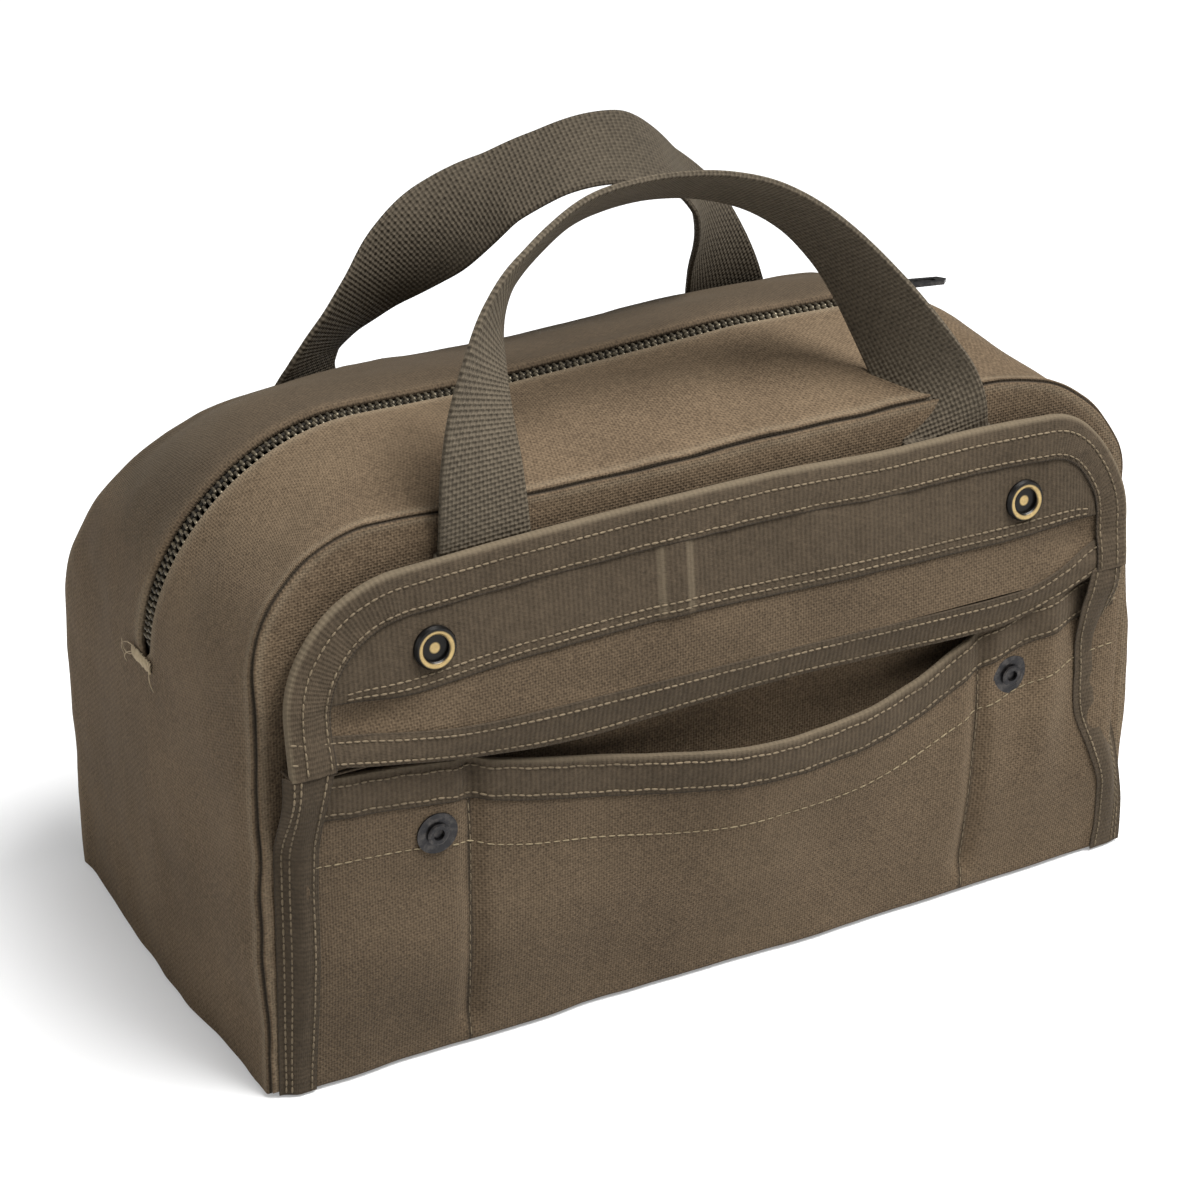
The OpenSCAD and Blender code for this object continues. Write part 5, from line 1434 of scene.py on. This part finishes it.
# Inside: seam bindings and tool pockets.
toolPockets = {"half": 80.0, "each": 40.0, "low": 36.0, "top": 86.5, "bulge": 9.6, "band": 8.5}
for side in (-1, 1):
    name = sideName(side)
    seam = seamRun(side)[4:-4]
    depths = np.array([1.6, 3, 5, 7.5, 10, 12.5])
    rings = innerRings(seam, panelCentre, depths)
    stand = np.array([0.6, 0.9, 0.7, 0.4, 0.3, 0.25])[None]
    rings[..., 1] += 2.0 + stand + valueNoise(rings, 6.0, 111) * 0.25
    placed = onSide(rings, side)
    n = gridNormals(placed)
    piece = Piece("seam_binding_tape_" + name)
    clothSheet(piece, placed, gridUv(along(seam), depths), 0.7, flip=np.mean(n[..., 1]) * side > 0)
    obj = dress(piece.build(tape), "seam_binding_" + name, name + "_side")
    declare(obj, 12, float(along(seam)[-1]), "folded", ["panel_cloth_" + name])
    line = placed[:, 3] - np.array([0, side * 0.3, 0])
    stitch("inside_" + name, line, np.array([0, -side, 0.0]), "long")

    tx = np.linspace(-toolPockets["half"], toolPockets["half"], 161)
    tz = np.concatenate([np.linspace(toolPockets["low"], toolPockets["low"] + 6, 8),
                         np.linspace(toolPockets["low"] + 8, toolPockets["top"], 26)])
    xx, zz = np.meshgrid(tx, tz, indexing="ij")
    within = np.abs(((xx + toolPockets["half"]) % toolPockets["each"]) / toolPockets["each"] * 2 - 1)
    within = np.where(np.abs(np.abs(xx) - toolPockets["half"]) < 0.01, 1.0, within)
    swell = np.sqrt(np.clip(1 - within ** 2.6, 0, 1)) * (0.35 + 0.65 * ease((zz - toolPockets["low"]) / 34))
    y = -70.4 + 0.3 + toolPockets["bulge"] * swell * ease((zz - toolPockets["low"]) / 7)
    pts = np.stack([xx, y, zz], axis=-1)
    pts[..., 1] += valueNoise(pts, 13.0, 112) * 0.5 * swell
    placed = onSide(pts, side)
    n = gridNormals(placed)
    piece = Piece("tool_pocket_cloth_" + name)
    across = along(pts[:, 20])
    clothSheet(piece, placed, gridUv(across, tz), 1.0, flip=np.mean(n[..., 1]) * side > 0)
    obj = dress(piece.build(canvas), "tool_pockets_" + name, name + "_side")
    declare(obj, float(across[-1]), 51, "gathered", ["panel_cloth_" + name],
            area=float(across[-1]) * 51 * 0.93e-6)
    rows = []
    for d, off in ((toolPockets["band"], 0.3), (6, 0.55), (3, 0.6), (0.8, 0.7), (-0.5, 0.2), (-0.5, -1.2),
                   (0.8, -1.7), (4, -1.6)):
        level = toolPockets["top"] - d
        row = np.stack([np.interp(level, tz, pts[i, :, 1]) for i in range(len(tx))])
        rows.append(np.stack([tx, row + off, np.full(len(tx), level)], axis=-1))
    band = np.stack(rows, axis=1)
    band[..., 1] += valueNoise(band, 5.0, 113) * 0.2
    placed = onSide(band, side)
    n = gridNormals(placed)
    piece = Piece("tool_pocket_band_" + name)
    acrossB = along(band[80])
    clothSheet(piece, placed, gridUv(across, acrossB), 0.5, flip=np.mean(n[:, :3, 1]) * side > 0)
    obj = dress(piece.build(tape), "tool_binding_" + name, name + "_side")
    declare(obj, float(across[-1]), float(acrossB[-1]), "folded", ["tool_pocket_cloth_" + name])
    stitch("inside_" + name, onSide(band[:, 1] + [0, 0.25, 0], side), np.array([0, -side, 0.0]), "close")
print("inside made")

# Stitches, gathered by the piece that they ride on.
stitchKinds = {"close": (stitchUnit, 2.35, thread), "long": (longUnit, 3.2, thread),
               "pale": (longUnit, 3.0, paleThread)}
stitchHolders = {
    "pocket": ("side", "front_flap_turn", -78.7, 0.22), "hinge": ("side", "front_flap_turn", -79.6, 0.3),
    "side": ("side",), "flap": ("flap",), "inside": ("side",),
}
for (key, kind), lines in stitches.items():
    group, name = key.split("_")
    unit, pitch, material = stitchKinds[kind]
    obj = repeatAlong("stitches_%s_%s" % (key, kind), lines, unit, pitch, material, 0.14, len(key))
    holder = stitchHolders[group]
    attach(obj, name + "_" + holder[0])
    if name == "front" and len(holder) > 1:
        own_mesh(obj)
print("stitches made")

# Metal parts keep the solids' own forms.
for name in ("front", "back"):
    for node in ("snap_caps_", "snap_studs_", "snap_eyelets_"):
        finishNode(node + name, gunMetal)
    finishNode("zip_stop_" + name, toothMetal)
finishNode("slider_body", gunMetal)
finishNode("pull_tab", gunMetal)

# Stage, light and camera.
studio = {
    "floorSize": 12.0, "floorZ": -0.0004, "floorColour": (0.62, 0.62, 0.62), "floorRough": 0.9,
    "floorGlow": 0.28, "ambient": 0.2, "background": 1.0,
    "lamps": {
        "keyLight": {"place": (0.5, -0.62, 1.75), "aim": (0.03, 0, 0.1), "power": 84.0, "size": 1.2},
        "fillLight": {"place": (-1.5, -0.16, 0.7), "aim": (0, 0, 0.1), "power": 8.2, "size": 1.2},
        "sideLight": {"place": (1.1, -0.8, 0.6), "aim": (0.1, 0, 0.1), "power": 2.5, "size": 0.8},
    },
}


def flatMaterial(name, colour, rough):
    s = Shader(name)
    s.plug("Base Color", (*colour, 1.0))
    s.plug("Roughness", rough)
    s.plug("Emission Color", s.node("ShaderNodeLightPath", "Is Camera Ray"))
    s.plug("Emission Strength", studio["floorGlow"])
    return s.material


def stagePlane(name, size, z, material):
    mesh = bpy.data.meshes.new(name)
    h = size / 2
    mesh.from_pydata([(-h, -h, z), (h, -h, z), (h, h, z), (-h, h, z)], [], [(0, 1, 2, 3)])
    obj = bpy.data.objects.new(name, mesh)
    bpy.context.scene.collection.objects.link(obj)
    mesh.materials.append(material)


stagePlane("studio_floor", studio["floorSize"], studio["floorZ"],
           flatMaterial("paleFloor", studio["floorColour"], studio["floorRough"]))

for name, lampSet in studio["lamps"].items():
    light = bpy.data.lights.new(name, "AREA")
    light.energy, light.size = lampSet["power"], lampSet["size"]
    lamp = bpy.data.objects.new(name, light)
    bpy.context.scene.collection.objects.link(lamp)
    lamp.location = lampSet["place"]
    away = Vector(lampSet["aim"]) - Vector(lampSet["place"])
    lamp.rotation_euler = away.to_track_quat("-Z", "Y").to_euler()

world = bpy.data.worlds.new("studio")
bpy.context.scene.world = world
world.use_nodes = True
worldTree = world.node_tree
soft = worldTree.nodes["Background"]
soft.inputs["Color"].default_value = (1, 1, 1, 1)
soft.inputs["Strength"].default_value = studio["ambient"]
white = worldTree.nodes.new("ShaderNodeBackground")
white.inputs["Color"].default_value = (1, 1, 1, 1)
white.inputs["Strength"].default_value = studio["background"]
paths = worldTree.nodes.new("ShaderNodeLightPath")
choose = worldTree.nodes.new("ShaderNodeMixShader")
worldTree.links.new(paths.outputs["Is Camera Ray"], choose.inputs[0])
worldTree.links.new(soft.outputs[0], choose.inputs[1])
worldTree.links.new(white.outputs[0], choose.inputs[2])
worldTree.links.new(choose.outputs[0], worldTree.nodes["World Output"].inputs["Surface"])

view = {"azimuth": -28.84, "elevation": 26.83, "distance": 1.0, "aim": (0, 0, 0.09), "lens": 99.35,
        "shift": (-2.6 / 1200, -6.0 / 1200)}
az, el = math.radians(view["azimuth"]), math.radians(view["elevation"])
backward = Vector((math.sin(az) * math.cos(el), -math.cos(az) * math.cos(el), math.sin(el)))
camera = bpy.data.objects.new("camera", bpy.data.cameras.new("camera"))
bpy.context.scene.collection.objects.link(camera)
camera.location = Vector(view["aim"]) + backward * view["distance"]
camera.rotation_euler = (-backward).to_track_quat("-Z", "Y").to_euler()
camera.data.lens = view["lens"]
camera.data.sensor_width = 36.0
camera.data.shift_x, camera.data.shift_y = view["shift"]
camera.data.clip_start, camera.data.clip_end = 0.05, 50
bpy.context.scene.camera = camera
bpy.context.scene.view_settings.view_transform = "Standard"

print("scene ready")
